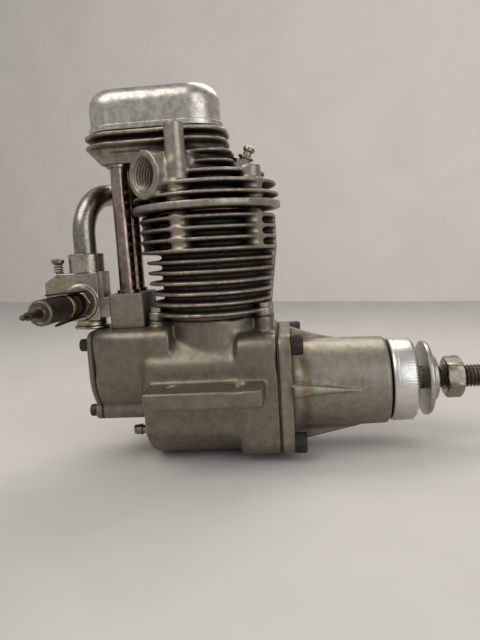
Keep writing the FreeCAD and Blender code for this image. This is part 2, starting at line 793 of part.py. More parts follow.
def crank_and_drive():
    """Overhung crankshaft with its counterweight, the propeller hub, washer and nut."""
    body = new_body("crankshaft")
    seatEnd = d.rearBearingStart + d.rearBearingWidth
    frontEnd = d.frontBearingStart + d.frontBearingWidth
    freeStart = d.nutRear + d.nutLength + d.freeThreadGap
    shaft = [
        (webFront - 1, 0),
        (webFront - 1, d.rearBearingBore + 2),
        (d.rearBearingStart, d.rearBearingBore + 2),
        (d.rearBearingStart, d.rearBearingBore),
        (seatEnd + 0.4, d.rearBearingBore),
        (seatEnd + 0.4, d.shaftRadius),
        (d.frontBearingStart, d.shaftRadius),
        (d.frontBearingStart, d.frontBearingBore),
        (d.hubRear, d.frontBearingBore),
        (d.hubRear, d.threadRadius),
        (freeStart, d.threadRadius),
        (freeStart, d.freeThreadRadius),
        (d.shaftEnd - 1, d.freeThreadRadius),
        (d.shaftEnd, d.freeThreadRadius - 1),
        (d.shaftEnd, 0),
    ]
    revolve(body, "journals", draw(body, "journal_section", "XZ_Plane", [shaft]), "H_Axis")
    cheek = d.crankpinRadius + 2.5
    drop = d.webRadius * 0.2
    wide = root(d.webRadius * d.webRadius - drop * drop)
    web = [
        (cheek, d.crankThrow, (0, d.crankThrow), 1),
        (-cheek, d.crankThrow),
        (-cheek - 2, 0),
        (-wide, -drop, (0, 0), 1),
        (wide, -drop),
        (cheek + 2, 0),
    ]
    pad(body, "web", draw(body, "web_outline", "YZ_Plane", [web], lift=d.webRear), d.webThickness)
    hubFront = d.hubRear + d.hubLength
    turned("drive_hub", "X", [
        (d.hubRear, d.threadRadius),
        (d.hubRear, d.hubRadius - 0.7),
        (d.hubRear + 0.7, d.hubRadius),
        (hubFront - 1.3, d.hubRadius),
        (hubFront, d.hubRadius - 1.3),
        (hubFront, d.threadRadius),
    ])
    washerFront = d.washerRear + d.washerThickness
    turned("propeller_washer", "X", [
        (d.washerRear, d.threadRadius + 0.1),
        (d.washerRear, d.washerRadius),
        (washerFront - 0.4, d.washerRadius),
        (washerFront, d.washerRadius - 0.4),
        (washerFront, d.washerBossRadius),
        (washerFront + d.washerBossLength - 0.5, d.washerBossRadius),
        (washerFront + d.washerBossLength, d.washerBossRadius - 0.5),
        (washerFront + d.washerBossLength, d.threadRadius + 0.1),
    ])
    nut = new_body("propeller_nut", axis=(1, 0, 0), angle=d.nutTurn)
    pad(nut, "nut_blank", draw(nut, "nut_hexagon", "YZ_Plane", [hexagon(d.nutAcrossFlats)], lift=d.nutRear,
                               circles=[(0, 0, d.threadRadius)]), d.nutLength)
    corner = d.nutAcrossFlats * 0.6
    rim = d.nutAcrossFlats / 2
    slope = (corner - rim) * 0.5
    for number, (end, side) in enumerate(((d.nutRear, 1), (d.nutRear + d.nutLength, -1))):
        sk = draw(nut, f"nut_bevel{number}", "XZ_Plane", [[
            (end, rim), (end + side * slope, corner), (end, corner)]])
        item = feature(nut, "Groove", f"nut_chamfer{number}", sk)
        item.ReferenceAxis = (sk, ["H_Axis"])
        item.Angle = 360


# Barrel: a finned aluminium jacket round a steel liner
def fin_profile(levels, rootRadius, tips):
    """Corners up the outside of a finned wall, each fin thinner at its tip than at its root."""
    corners = []
    for level, tip in zip(levels, tips):
        corners += [
            (rootRadius, level - d.finRoot / 2),
            (tip, level - d.finTip / 2),
            (tip, level + d.finTip / 2),
            (rootRadius, level + d.finRoot / 2),
        ]
    return corners


def barrel():
    body = new_body("cylinder_barrel", x=d.barrelAxis)
    levels = [d.neckTop + d.finStart + d.finPitch * n for n in range(10)]
    tips = [d.lowFinRadius + d.lowFinStep * n if n < 6 else d.highFinRadius for n in range(10)]
    wall = [
        (d.linerRadius, d.neckTop),
        (d.barrelRootRadius, d.neckTop),
        *fin_profile(levels, d.barrelRootRadius, tips),
        (d.barrelRootRadius, deck),
        (d.linerFlangeRadius, deck),
        (d.linerFlangeRadius, deck - d.linerFlange),
        (d.linerRadius, deck - d.linerFlange),
    ]
    revolve(body, "jacket", draw(body, "jacket_section", "XZ_Plane", [wall]), "V_Axis")
    # columns between the tall fins carry the five head bolts
    lowest = levels[6] - d.finTip / 2
    column = pad(body, "column", draw(body, "column_circle", "XY_Plane", lift=lowest,
                                      circles=[(-d.boltCircle, 0, d.boltColumnRadius)]), deck - lowest)
    ring_pattern(body, "columns", [column], "N_Axis", 5)
    hole = pocket(body, "bolt_hole", draw(body, "bolt_hole_circle", "XY_Plane", lift=deck,
                                          circles=[(-d.boltCircle, 0, d.boltRadius)]), deck - lowest)
    ring_pattern(body, "bolt_holes", [hole], "N_Axis", 5)
    # the front rib joins all fins, and four pads under the lowest fin take the hold-down screws
    rib = [
        (d.linerRadius + 1, d.neckTop + 1),
        (d.lowFinRadius - 0.5, d.neckTop + 1),
        (d.highFinRadius - 0.2, levels[6]),
        (d.highFinRadius - 0.2, levels[9]),
        (d.linerRadius + 1, levels[9]),
    ]
    pad(body, "front_rib", draw(body, "front_rib_outline", "XZ_Plane", [rib], lift=1.4), 2.8, True)
    seat = levels[0] + d.finRoot / 2
    spots = [(across * d.postAcross, aside * d.postAside) for across in (1, -1) for aside in (1, -1)]
    for number, (x, y) in enumerate(spots):
        pad(body, f"foot{number}", draw(body, f"foot_circle{number}", "XY_Plane", lift=d.neckTop,
                                        circles=[(x, y, d.postRadius)]), seat - d.neckTop)
    pocket(body, "foot_holes", draw(body, "foot_hole_circles", "XY_Plane", lift=seat, circles=[
        (x, y, d.screwThreeRadius + 0.1) for x, y in spots]), seat - d.neckTop)
    screw = pan_screw(d.screwThreeRadius, d.screwThreeHead - 0.3, seat - d.neckTop + d.barrelScrewGrip, 1.5)
    copies("barrel_screws", screw, [at(x, y, seat) for x, y in posts])
    turned("cylinder_liner", "Z", [
        (d.neckTop - d.linerSkirt, d.boreRadius),
        (d.neckTop - d.linerSkirt, d.linerRadius),
        (deck - d.linerFlange, d.linerRadius),
        (deck - d.linerFlange, d.linerFlangeRadius),
        (deck, d.linerFlangeRadius),
        (deck, d.boreRadius),
    ], x=d.barrelAxis)
    turned("head_gasket", "Z", tube(d.barrelRootRadius, d.boreRadius + 0.2, deck, headBase), x=d.barrelAxis)


def pan_screw(radius, head, length, height):
    """Low slotted screw standing on the origin: head up, shank down."""
    radius, head, length = float(radius), float(head), float(length)
    solid = Part.makeCylinder(head, height).fuse(Part.makeCylinder(radius, length, Vector(0, 0, -length)))
    slot = Part.makeBox(3 * head, head * 0.25, height * 0.5, Vector(-1.5 * head, -head * 0.125, height * 0.5))
    return solid.cut(slot)


def piston_and_rod():
    """Piston at top dead centre with its ring, pin, connecting rod and crankpin."""
    bottom = d.pistonTop - d.pistonLength
    radius = d.boreRadius - 0.08
    ringLow = d.pistonTop - 3.4
    ringHigh = ringLow + 1.2
    ringDepth = radius - 1.1
    hollow = d.boreRadius - 1.8
    body = new_body("piston", x=d.barrelAxis)
    section = [
        (0, d.pistonTop),
        (0, d.pistonTop - 3),
        (hollow, d.pistonTop - 3.8),
        (hollow, bottom),
        (radius, bottom),
        (radius, ringLow),
        (ringDepth, ringLow),
        (ringDepth, ringHigh),
        (radius, ringHigh),
        (radius, d.pistonTop - 0.3),
        (radius - 0.3, d.pistonTop),
    ]
    revolve(body, "shell", draw(body, "shell_section", "XZ_Plane", [section]), "V_Axis")
    for number, reverse in ((0, False), (1, True)):
        inner = d.rodThickness / 2 + 0.6
        side = -1 if reverse else 1
        sk = draw(body, f"boss_circle{number}", "YZ_Plane", circles=[(0, pinTop, d.pinRadius + 2)], lift=side * inner)
        pad(body, f"boss{number}", sk, hollow - inner + 0.4, reverse)
    pocket(body, "pin_bore", draw(body, "pin_bore_circle", "YZ_Plane", lift=d.boreRadius,
                                  circles=[(0, pinTop, d.pinRadius)]), d.boreRadius * 2)
    turned("piston_ring", "Z", tube(d.boreRadius - 0.03, ringDepth + 0.2, ringLow + 0.05, ringHigh - 0.05),
           x=d.barrelAxis)
    turned("wrist_pin", "X", tube(d.pinRadius, d.pinRadius - 1.1, -d.pinHalfLength, d.pinHalfLength),
           x=d.barrelAxis, z=pinTop)
    half = d.rodThickness / 2
    turned("crankpin", "X", tube(d.crankpinRadius, d.crankpinRadius - 2, -half - 0.7,
                                 d.webRear - d.runningGap - d.barrelAxis), x=d.barrelAxis, z=d.crankThrow)
    together("rod_pins", "wrist_pin", "crankpin")
    rod = new_body("connecting_rod", x=d.barrelAxis)
    # the shank is an H: two flanges with a thin web between them
    shank = [(-4.2, d.crankThrow), (4.2, d.crankThrow), (3.2, pinTop), (-3.2, pinTop)]
    pad(rod, "flanges", draw(rod, "flanges_outline", "YZ_Plane", [shank], lift=-2.5), 5)
    pad(rod, "big_end", draw(rod, "big_end_circle", "YZ_Plane", lift=-half, circles=[
        (0, d.crankThrow, d.rodBigEnd)]), d.rodThickness)
    pad(rod, "small_end", draw(rod, "small_end_circle", "YZ_Plane", lift=-half, circles=[
        (0, pinTop, d.rodSmallEnd)]), d.rodThickness)
    lowEnd = d.crankThrow + d.rodBigEnd + 1
    highEnd = pinTop - d.rodSmallEnd - 1
    panel = [(-2.6, lowEnd), (2.6, lowEnd), (1.8, highEnd), (-1.8, highEnd)]
    for side in (1, -1):
        sk = draw(rod, f"panel_outline{side + 1}", "YZ_Plane", [panel], lift=side * 2.5)
        pocket(rod, f"panel{side + 1}", sk, 1.6, side < 0)
    pocket(rod, "big_bore", draw(rod, "big_bore_circle", "YZ_Plane", lift=half, circles=[
        (0, d.crankThrow, d.crankpinRadius)]), d.rodThickness)
    pocket(rod, "small_bore", draw(rod, "small_bore_circle", "YZ_Plane", lift=half, circles=[
        (0, pinTop, d.pinRadius)]), d.rodThickness)


def cover_outline(grow=0):
    """Plan of the rocker cover, made larger or smaller all round."""
    return stadium(d.coverRear - grow, d.coverFront + grow, d.coverHalf + grow)


def fin_plate(left, right, half, corner):
    return box_outline(left, right, -half, half, corner)


# Cylinder head and rocker box in one casting, on the barrel's own axis
def cylinder_head():
    body = new_body("cylinder_head", x=d.barrelAxis)
    fins = [headBase + d.headFinStart + d.headFinPitch * n for n in range(3)]
    tips = [d.headFinRadius, d.headFinMiddleRadius, d.headFinTopRadius]
    coreTop = headBase + d.headCoreHeight
    ceiling = headBase + d.combustionDepth
    wall = [
        (0, ceiling),
        (d.combustionRadius - 1, ceiling),
        (d.combustionRadius, headBase),
        (d.headBaseRadius, headBase),
        (d.headBaseRadius, headBase + d.headBaseFin),
        (d.headCoreRadius, headBase + d.headBaseFin + 0.4),
        *fin_profile(fins, d.headCoreRadius, tips),
        (d.headCoreRadius, coreTop),
        (0, coreTop),
    ]
    revolve(body, "core", draw(body, "core_section", "XZ_Plane", [wall]), "V_Axis")
    # tower under the rocker box, its two short fins, and the sloping floor over the pushrod tubes
    tower = [
        (d.coverFront - d.coverHalf - 12, -d.coverHalf),
        (d.coverFront - d.coverHalf, -d.coverHalf, (d.coverFront - d.coverHalf, 0), 1),
        (d.coverFront - d.coverHalf, d.coverHalf),
        (d.coverFront - d.coverHalf - 12, d.coverHalf),
    ]
    pad(body, "tower", draw(body, "tower_outline", "XY_Plane", [tower], lift=coreTop - 1),
        d.boxFinLow - coreTop + 1)
    for number, (level, front) in enumerate(((d.boxFinLow - 3.8, 10.4), (d.boxFinLow - 7.2, 11.2))):
        plate = [
            (-8, -d.boxFinHalf + 2),
            (front - 9, -d.boxFinHalf + 2, (front - 9, 9 - d.boxFinHalf + 2), 1),
            (front, 9 - d.boxFinHalf + 2),
            (front, d.boxFinHalf - 11, (front - 9, d.boxFinHalf - 11), 1),
            (front - 9, d.boxFinHalf - 2),
            (-8, d.boxFinHalf - 2),
        ]
        pad(body, f"short_fin{number}", draw(body, f"short_fin_outline{number}", "XY_Plane", [plate],
                                             lift=level - d.finTip / 2), d.finTip)
    tubeX = d.camAxis - d.barrelAxis
    under = [
        (d.coverRear + 0.6, d.boxFinLow - 1.2),
        (tubeX - 5.2, d.tubeSocket),
        (d.coverFront - d.coverHalf - 12.8, d.tubeSocket),
        (d.coverFront - d.coverHalf - 12, coreTop),
        (d.coverFront - d.coverHalf, coreTop),
        (d.coverFront - d.coverHalf, d.boxFinLow),
        (d.coverRear + 0.6, d.boxFinLow),
    ]
    pad(body, "underside", draw(body, "underside_outline", "XZ_Plane", [under], lift=d.coverHalf - 1.2),
        (d.coverHalf - 1.2) * 2, True)
    pad(body, "box", draw(body, "box_outline", "XY_Plane", [cover_outline()], lift=d.boxFinLow - 2),
        d.boxTop - d.boxFinLow + 2)
    for number, level in enumerate((d.boxFinHigh, d.boxFinLow)):
        plate = fin_plate(d.boxFinRear, d.boxFinFront, d.boxFinHalf, d.boxFinCorner)
        pad(body, f"box_fin{number}", draw(body, f"box_fin_outline{number}", "XY_Plane", [plate],
                                           lift=level - d.finTip * 0.6), d.finTip * 1.2)
    # bolt columns: five short, of which the two beside the tower run on up past the box fins
    column = pad(body, "column", draw(body, "column_circle", "XY_Plane", lift=headBase + 1, circles=[
        (-d.boltCircle, 0, d.headColumnRadius)]), coreTop - headBase - 1)
    ring_pattern(body, "columns", [column], "N_Axis", 5)
    sideX = d.boltCircle * math.cos(1.5 * fifth)
    sideY = d.boltCircle * math.sin(1.5 * fifth)
    tallTop = d.boxFinHigh + d.finTip * 0.6
    for side in (1, -1):
        for name, radius, low, high in (("tall", d.boltColumnRadius + 0.7, coreTop - 1, tallTop),
                                        ("web", d.boltColumnRadius - 0.6, coreTop - 1, tallTop)):
            spot = side * sideY if name == "tall" else side * (sideY - d.boltColumnRadius * 1.4)
            sk = draw(body, f"{name}_circle{side + 1}", "XY_Plane", circles=[(sideX, spot, radius)], lift=low)
            pad(body, f"{name}_column{side + 1}", sk, high - low)
    # exhaust and intake stubs
    port = headBase + d.exhaustHeight
    turn = {"axis": (0, 1, 0), "angle": float(d.exhaustAngle)}
    reach = d.exhaustReach
    pad(body, "exhaust_stub", draw(body, "exhaust_circle", "YZ_Plane", circles=[(0, port, d.exhaustRingRadius)],
                                   **turn), reach)
    flat = d.exhaustRingRadius - 0.8
    square = box_outline(-flat, flat, port - flat, port + flat, Size(1.5))
    pad(body, "exhaust_block", draw(body, "exhaust_block_outline", "YZ_Plane", [square], **turn), reach - 4.5)
    intake = headBase + d.intakeHeight
    inner = Size(-8)
    pad(body, "intake_stub", draw(body, "intake_circle", "YZ_Plane", lift=inner, circles=[
        (d.intakeAside, intake, d.intakeStubRadius)]), d.intakeReach + inner, True)
    # plug boss, tilted forward
    plug = {"base": (d.plugForward, 0), "axis": (0, 1, 0), "angle": float(d.plugTilt)}
    plugBase = headBase + d.plugHeight
    pad(body, "plug_boss", draw(body, "plug_boss_circle", "XY_Plane", circles=[(0, 0, d.plugThread + 2.6)],
                                lift=plugBase, **plug), 9, True)
    # inside: rocker box, spring well, posts, passages
    boxHalf = d.coverHalf - d.coverWall
    inside = stadium(d.coverRear + d.coverWall, d.coverFront - d.coverWall, boxHalf)
    pocket(body, "box_cavity", draw(body, "box_cavity_outline", "XY_Plane", [inside], lift=d.boxTop),
           d.boxTop - d.boxFloor)
    pocket(body, "wells", draw(body, "well_circles", "XY_Plane", lift=d.boxFloor, circles=[
        (d.valveAxis - d.barrelAxis, side * d.valveAside, d.wellRadius) for side in (1, -1)]), d.boxFloor - d.wellFloor)
    rockerX = d.rockerAxis - d.barrelAxis
    stand = box_outline(rockerX - 2.7, rockerX + 2.7, Size(-2.4), Size(2.4), Size(1))
    pad(body, "stand", draw(body, "stand_outline", "XY_Plane", [stand], lift=d.boxFloor - 1),
        d.rockerHeight + 3.4 - d.boxFloor + 1)
    for number, x in enumerate((d.coverScrewRear, d.coverScrewFront)):
        foot = d.wellFloor - 1
        pad(body, f"screw_post{number}", draw(body, f"screw_post_circle{number}", "XY_Plane", lift=foot, circles=[
            (x, 0, d.screwThreeRadius + 0.9)]), d.coverScrewSeat - foot)
        pocket(body, f"screw_post_hole{number}", draw(body, f"post_hole_circle{number}", "XY_Plane",
                                                      lift=d.coverScrewSeat, circles=[(x, 0, d.screwThreeRadius)]),
               d.coverScrewGrip)
    pocket(body, "shaft_bore", draw(body, "shaft_circle", "XZ_Plane", lift=3, circles=[
        (rockerX, d.rockerHeight, d.rockerShaftRadius)]), 6)
    tubes = [(tubeX, side * d.tappetAside) for side in (1, -1)]
    pocket(body, "tube_sockets", draw(body, "tube_socket_circles", "XY_Plane", lift=d.tubeSocket - 1, circles=[
        (x, y, d.tubeRadius) for x, y in tubes]), d.tubeSeat + 1, True)
    pocket(body, "pushrod_holes", draw(body, "pushrod_circles", "XY_Plane", lift=d.boxFloor, circles=[
        (x, y, d.pushrodRadius + 1) for x, y in tubes]), d.boxFloor - d.tubeSocket)
    valves = [(d.valveAxis - d.barrelAxis, side * d.valveAside) for side in (1, -1)]
    pocket(body, "throats", draw(body, "throat_circles", "XY_Plane", lift=headBase, circles=[
        (x, y, d.valveHeadRadius - 1) for x, y in valves]), port - headBase, True)
    pocket(body, "seat_bores", draw(body, "seat_circles", "XY_Plane", lift=headBase, circles=[
        (x, y, d.seatRadius) for x, y in valves]), ceiling + d.seatDepth - headBase, True)
    pocket(body, "guide_bores", draw(body, "guide_circles", "XY_Plane", lift=d.wellFloor, circles=[
        (x, y, d.guideRadius) for x, y in valves]), d.wellFloor - port)
    pocket(body, "exhaust_way", draw(body, "way_circle", "YZ_Plane", circles=[
        (0, port, d.exhaustPortRadius)], **turn), reach, True)
    outward = math.radians(float(d.exhaustAngle))
    seat = reach - d.exhaustSeatDepth
    sk = draw(body, "mouth_circle", "YZ_Plane", lift=seat * math.cos(outward), base=(seat * math.sin(outward), 0),
              circles=[(0, port, d.exhaustBoreRadius)], **turn)
    pocket(body, "exhaust_mouth", sk, d.exhaustSeatDepth + 1, True)
    sk = draw(body, "intake_bore_circle", "YZ_Plane", lift=-d.intakeReach, circles=[
        (d.intakeAside, intake, d.passageRadius)])
    pocket(body, "intake_bore", sk, d.intakeReach - 9, True)
    run = Size(math.hypot(float(d.intakeAside - d.valveAside), 10.0))
    heading = math.degrees(math.atan2(float(d.intakeAside - d.valveAside), -10.0))
    pocket(body, "intake_passage", draw(body, "passage_circle", "YZ_Plane", circles=[(0, intake, d.passageRadius - 0.6)],
                                        lift=d.valveAxis - d.barrelAxis, base=(d.valveAside, 0), axis=(0, 1, 0),
                                        angle=heading), run, True)
    pocket(body, "plug_hole", draw(body, "plug_circle", "XY_Plane", circles=[(0, 0, d.plugThread)],
                                   lift=plugBase, **plug), 16)
    pocket(body, "plug_recess", draw(body, "plug_recess_circle", "XY_Plane", circles=[(0, 0, d.plugSeat + 0.4)],
                                     lift=plugBase, **plug), 7, True)
    pocket(body, "pipe_room", draw(body, "pipe_room_circle", "YZ_Plane", lift=-d.intakeReach, circles=[
        (d.intakeAside, intake, d.intakeStubRadius + 0.8)]), 9)
    hole = pocket(body, "bolt_hole", draw(body, "bolt_circle", "XY_Plane", lift=coreTop, circles=[
        (-d.boltCircle, 0, d.boltRadius + 0.15)]), coreTop - headBase)
    ring_pattern(body, "bolt_holes", [hole], "N_Axis", 5)
    pocket(body, "tall_holes", draw(body, "tall_hole_circles", "XY_Plane", lift=tallTop, circles=[
        (sideX, side * sideY, d.boltRadius + 0.15) for side in (1, -1)]), tallTop - coreTop)
    spots = [(d.boltCircle * math.cos(fifth * n + math.pi), d.boltCircle * math.sin(fifth * n + math.pi))
             for n in range(5)]
    tallSpots = [spots[1], spots[4]]
    shortSpots = [spots[0], spots[2], spots[3]]
    for name, level, places in (("short", coreTop, shortSpots), ("tall", tallTop, tallSpots)):
        pocket(body, name + "_recesses", draw(body, name + "_recess_circles", "XY_Plane", lift=level, circles=[
            (x, y, d.boltHead + 0.15) for x, y in places]), d.boltSink)
    # fasteners and fittings of the head
    bolts = []
    for level, places in ((coreTop, shortSpots), (tallTop, tallSpots)):
        seat = level - d.boltSink
        bolt = cap_screw(d.boltRadius, d.boltHead, seat - deck + d.boltGrip)
        bolts += [bolt.transformed(at(d.barrelAxis + x, y, seat).toMatrix(), True) for x, y in places]
    group = doc.addObject("Part::Feature", "head_bolts")
    group.Shape = Part.makeCompound(bolts)
    keep(group, "head_bolts")


def rocker_cover():
    """Domed cover drawn from sheet-like walls, with a bead round its foot and two sunk screws."""
    gasket = new_body("rocker_cover_gasket", x=d.barrelAxis)
    pad(gasket, "cover_sheet", draw(gasket, "cover_sheet_outline", "XY_Plane", lift=d.boxTop, outlines=[
        cover_outline(), stadium(d.coverRear + d.coverWall, d.coverFront - d.coverWall, d.coverHalf - d.coverWall)]),
        d.gasketThickness)
    body = new_body("rocker_cover", x=d.barrelAxis)
    pad(body, "dome", draw(body, "dome_outline", "XY_Plane", [cover_outline()], lift=coverBase),
        d.coverTop - coverBase)
    top = float(d.coverTop)
    round_edges(body, "dome_rounding", d.coverRounding, lambda edge: abs(edge.BoundBox.ZMin - top) < 1e-4)
    inside = stadium(d.coverRear + d.coverWall, d.coverFront - d.coverWall, d.coverHalf - d.coverWall)
    inset = d.coverWall + 1.8
    upper = stadium(d.coverRear + inset, d.coverFront - inset, d.coverHalf - inset)
    for name, outline, level in (("hollow", inside, d.coverTop - 3.5),
                                 ("upper_hollow", upper, d.coverTop - d.coverWall)):
        pocket(body, name, draw(body, name + "_outline", "XY_Plane", [outline], lift=coverBase),
               level - coverBase, True)
    pad(body, "bead", draw(body, "bead_outline", "XY_Plane", [cover_outline(d.coverBead), inside], lift=coverBase),
        1.8)
    for number, x in enumerate((d.coverScrewRear, d.coverScrewFront)):
        well = d.screwThreeHead + 0.3
        pad(body, f"screw_well{number}", draw(body, f"screw_well_circle{number}", "XY_Plane", lift=d.coverScrewSeat,
                                              circles=[(x, 0, well + 1.2)]), d.coverTop - 1 - d.coverScrewSeat)
        pocket(body, f"well_recess{number}", draw(body, f"well_recess_circle{number}", "XY_Plane", lift=d.coverTop,
                                                  circles=[(x, 0, well)]), d.coverTop - d.coverScrewSeat - 1.2)
        pocket(body, f"well_hole{number}", draw(body, f"well_hole_circle{number}", "XY_Plane", lift=d.coverTop,
                                                circles=[(x, 0, d.screwThreeRadius + 0.1)]),
               d.coverTop - d.coverScrewSeat)
    screw = cap_screw(d.screwThreeRadius, d.screwThreeHead, d.coverScrewGrip)
    copies("rocker_cover_screws", screw, [
        at(d.barrelAxis + x, 0, d.coverScrewSeat + 1.2) for x in (d.coverScrewRear, d.coverScrewFront)])


def spring(name, x, y, low, high, radius, wire, turns):
    """Closed helical spring of round wire standing on its seat."""
    low, high, radius, wire = (float(size) for size in (low, high, radius, wire))
    height = high - low - 2 * wire
    helix = Part.makeHelix(height / turns, height, radius)
    section = Part.Wire(Part.makeCircle(wire, Vector(radius, 0, 0), Vector(0, 1, 0)))
    solid = Part.Wire(helix).makePipeShell([section], True, True)
    item = doc.addObject("Part::Feature", name)
    item.Shape = solid
    item.Placement = at(x, y, low + wire)
    return keep(item, name)


# Valve gear: for each side a tappet, pushrod, rocker, valve, spring and collar
def valve_side(name, side):
    aside = side * d.tappetAside
    turned(name + "_tappet", "Z", [
        (tappetFoot, 0),
        (tappetFoot, d.tappetRadius),
        (d.tappetTop, d.tappetRadius),
        (d.tappetTop, d.pushrodRadius + 0.5),
        (d.tappetTop - 1.5, d.pushrodRadius),
        (d.tappetTop - 1.5, 0),
    ], x=d.camAxis, y=aside)
    turned(name + "_pushrod", "Z", [
        (d.tappetTop - 1.5, 0),
        (d.tappetTop - 1.5, d.pushrodRadius * 0.6),
        (d.tappetTop - 0.5, d.pushrodRadius),
        (d.rodTip - 2.6, d.pushrodRadius),
        (d.rodTip - 2, d.pushrodRadius + 0.5),
        (d.rodTip - 0.6, d.pushrodRadius + 0.5),
        (d.rodTip, d.pushrodRadius * 0.6),
        (d.rodTip, 0),
    ], x=d.camAxis, y=aside)
    # rocker: a hub with two tapering arms, an adjusting screw over the pushrod and a pad over the stem
    rocker = new_body(name + "_rocker", x=d.rockerAxis, z=d.rockerHeight)
    clear = d.rodTip + d.runningGap - d.rockerHeight
    valveArm = d.valveAxis - d.rockerAxis
    arm = [
        (-rockerSpan - 2.2, -0.2),
        (-2, -2.6),
        (2, -2.6),
        (valveArm - 1.4, clear + 0.5),
        (valveArm - 0.9, clear),
        (valveArm + 0.9, clear),
        (valveArm + 1.8, clear + 0.8),
        (valveArm + 1.2, 1.2),
        (2, 3),
        (-2, 3),
        (-rockerSpan - 2.2, 1.6),
    ]
    middle = side * (d.tappetAside + d.valveAside) / 2
    pad(rocker, name + "_arms", draw(rocker, name + "_arm_outline", "XZ_Plane", [arm], lift=1.7 - middle), 3.4, True)
    hubStart = side * 2.7
    pad(rocker, name + "_hub", draw(rocker, name + "_hub_circle", "XZ_Plane", circles=[(0, 0, d.rockerHub)],
                                    lift=-hubStart), 5.2, side > 0)
    pocket(rocker, name + "_bore", draw(rocker, name + "_bore_circle", "XZ_Plane", lift=9, circles=[
        (0, 0, d.rockerShaftRadius + 0.03)]), 18)
    screw = draw(rocker, name + "_adjuster_circle", "XY_Plane", lift=clear, circles=[(-rockerSpan, aside, 1.5)])
    pad(rocker, name + "_adjuster", screw, 3.3 - clear)
    lock = draw(rocker, name + "_lock_circle", "XY_Plane", lift=1, circles=[(-rockerSpan, aside, 2.4)])
    pad(rocker, name + "_lock", lock, 1.8)
    # valve, guide, seat, spring and retainer
    valveY = side * d.valveAside
    face = headBase + d.combustionDepth - 1
    neck = d.valveHeadRadius - d.stemRadius - 1.2
    turned(name + "_valve_stem", "Z", [
        (face, 0),
        (face, d.valveHeadRadius - 0.3),
        (face + 0.5, d.valveHeadRadius),
        (face + 1, d.valveHeadRadius),
        (face + 1 + neck * 0.55, d.valveHeadRadius - neck),
        (face + 2 + neck, d.stemRadius),
        (d.rodTip, d.stemRadius),
        (d.rodTip, 0),
    ], x=d.valveAxis, y=valveY)
    turned(name + "_spring_retainer", "Z", [
        (d.retainerBase, d.stemRadius),
        (d.retainerBase, d.springRadius + d.springWire + 0.1),
        (d.retainerBase + 0.9, d.springRadius + d.springWire + 0.1),
        (d.retainerBase + 1.8, d.stemRadius + 1),
        (d.retainerBase + 1.8, d.stemRadius),
    ], x=d.valveAxis, y=valveY)
    together(name + "_valve", name + "_valve_stem", name + "_spring_retainer")
    spring(name + "_valve_spring", d.valveAxis, valveY, d.wellFloor, d.retainerBase, d.springRadius, d.springWire, 5)


def valve_gear():
    for name, side in (("intake", 1), ("exhaust", -1)):
        valve_side(name, side)
    half = d.coverHalf - d.coverWall - 0.6
    turned("rocker_shaft", "Y", [(-half, 0), (-half, d.rockerShaftRadius), (half, d.rockerShaftRadius), (half, 0)],
           x=d.rockerAxis, z=d.rockerHeight)
    ceiling = headBase + d.combustionDepth
    seat = Part.makeCylinder(float(d.seatRadius), float(d.seatDepth)).cut(
        Part.makeCone(float(d.valveHeadRadius + 0.05), float(d.valveHeadRadius - 1.2), float(d.seatDepth)))
    spots = [(d.valveAxis, side * d.valveAside) for side in (1, -1)]
    copies("valve_seats", seat, [at(x, y, ceiling) for x, y in spots])
    port = headBase + d.exhaustHeight
    guide = Part.makeCylinder(float(d.guideRadius), float(d.wellFloor - port + 1.2)).cut(
        Part.makeCylinder(float(d.stemRadius + 0.04), 40))
    copies("valve_guides", guide, [at(x, y, port) for x, y in spots])
    together("valve_inserts", "valve_seats", "valve_guides")
    # pushrod tubes stand on the tappet block and end in sockets under the rocker box
    length = float(d.tubeSocket + d.tubeSeat - d.blockTop)
    outer, inner = float(d.tubeRadius), float(d.tubeRadius - d.tubeWall)
    tubeShape = Part.makeCylinder(outer, length).fuse(Part.makeCylinder(outer + 0.9, 1.3)).fuse(
        Part.makeCylinder(outer + 0.9, 1, Vector(0, 0, float(d.tubeSocket - d.blockTop) - 1)))
    tubeShape = tubeShape.cut(Part.makeCylinder(inner, length)).removeSplitter()
    copies("pushrod_tubes", tubeShape, [at(d.camAxis, side * d.tappetAside, d.blockTop) for side in (1, -1)])
    block = new_body("tappet_block")
    outline = box_outline(d.blockRear, d.blockFront, -d.blockHalf, d.blockHalf, Size(0.8))
    pad(block, "block", draw(block, "block_outline", "XY_Plane", [outline], lift=d.camBoxTop, circles=[
        (d.camAxis, side * d.tappetAside, d.tappetRadius + 0.05) for side in (1, -1)]), d.blockTop - d.camBoxTop)


def helical_gear(teeth, pitchRadius, module, width, helix, phase):
    """Helical gear lofted through turned sections; helix is the turn in radians over the whole width."""
    def section(station):
        turn = phase + helix * (station / width - 0.5)
        corners = []
        for tooth in range(teeth):
            centre = turn + 2 * math.pi * tooth / teeth
            for radius, angle in ((rootRadius, -footHalf), (tipRadius, -tipHalf), (tipRadius, tipHalf),
                                  (rootRadius, footHalf)):
                corners.append(Vector(radius * math.cos(centre + angle), radius * math.sin(centre + angle),
                                      station - width / 2))
        return Part.makePolygon(corners + corners[:1])

    tipRadius = pitchRadius + 0.85 * module
    rootRadius = pitchRadius - 1.15 * module
    footHalf = 0.62 * math.pi / teeth * 0.78
    tipHalf = 0.2 * math.pi / teeth
    steps = 4 if abs(helix) < 1 else 9
    solid = Part.makeLoft([section(width * n / steps) for n in range(steps + 1)], True, True)
    return solid


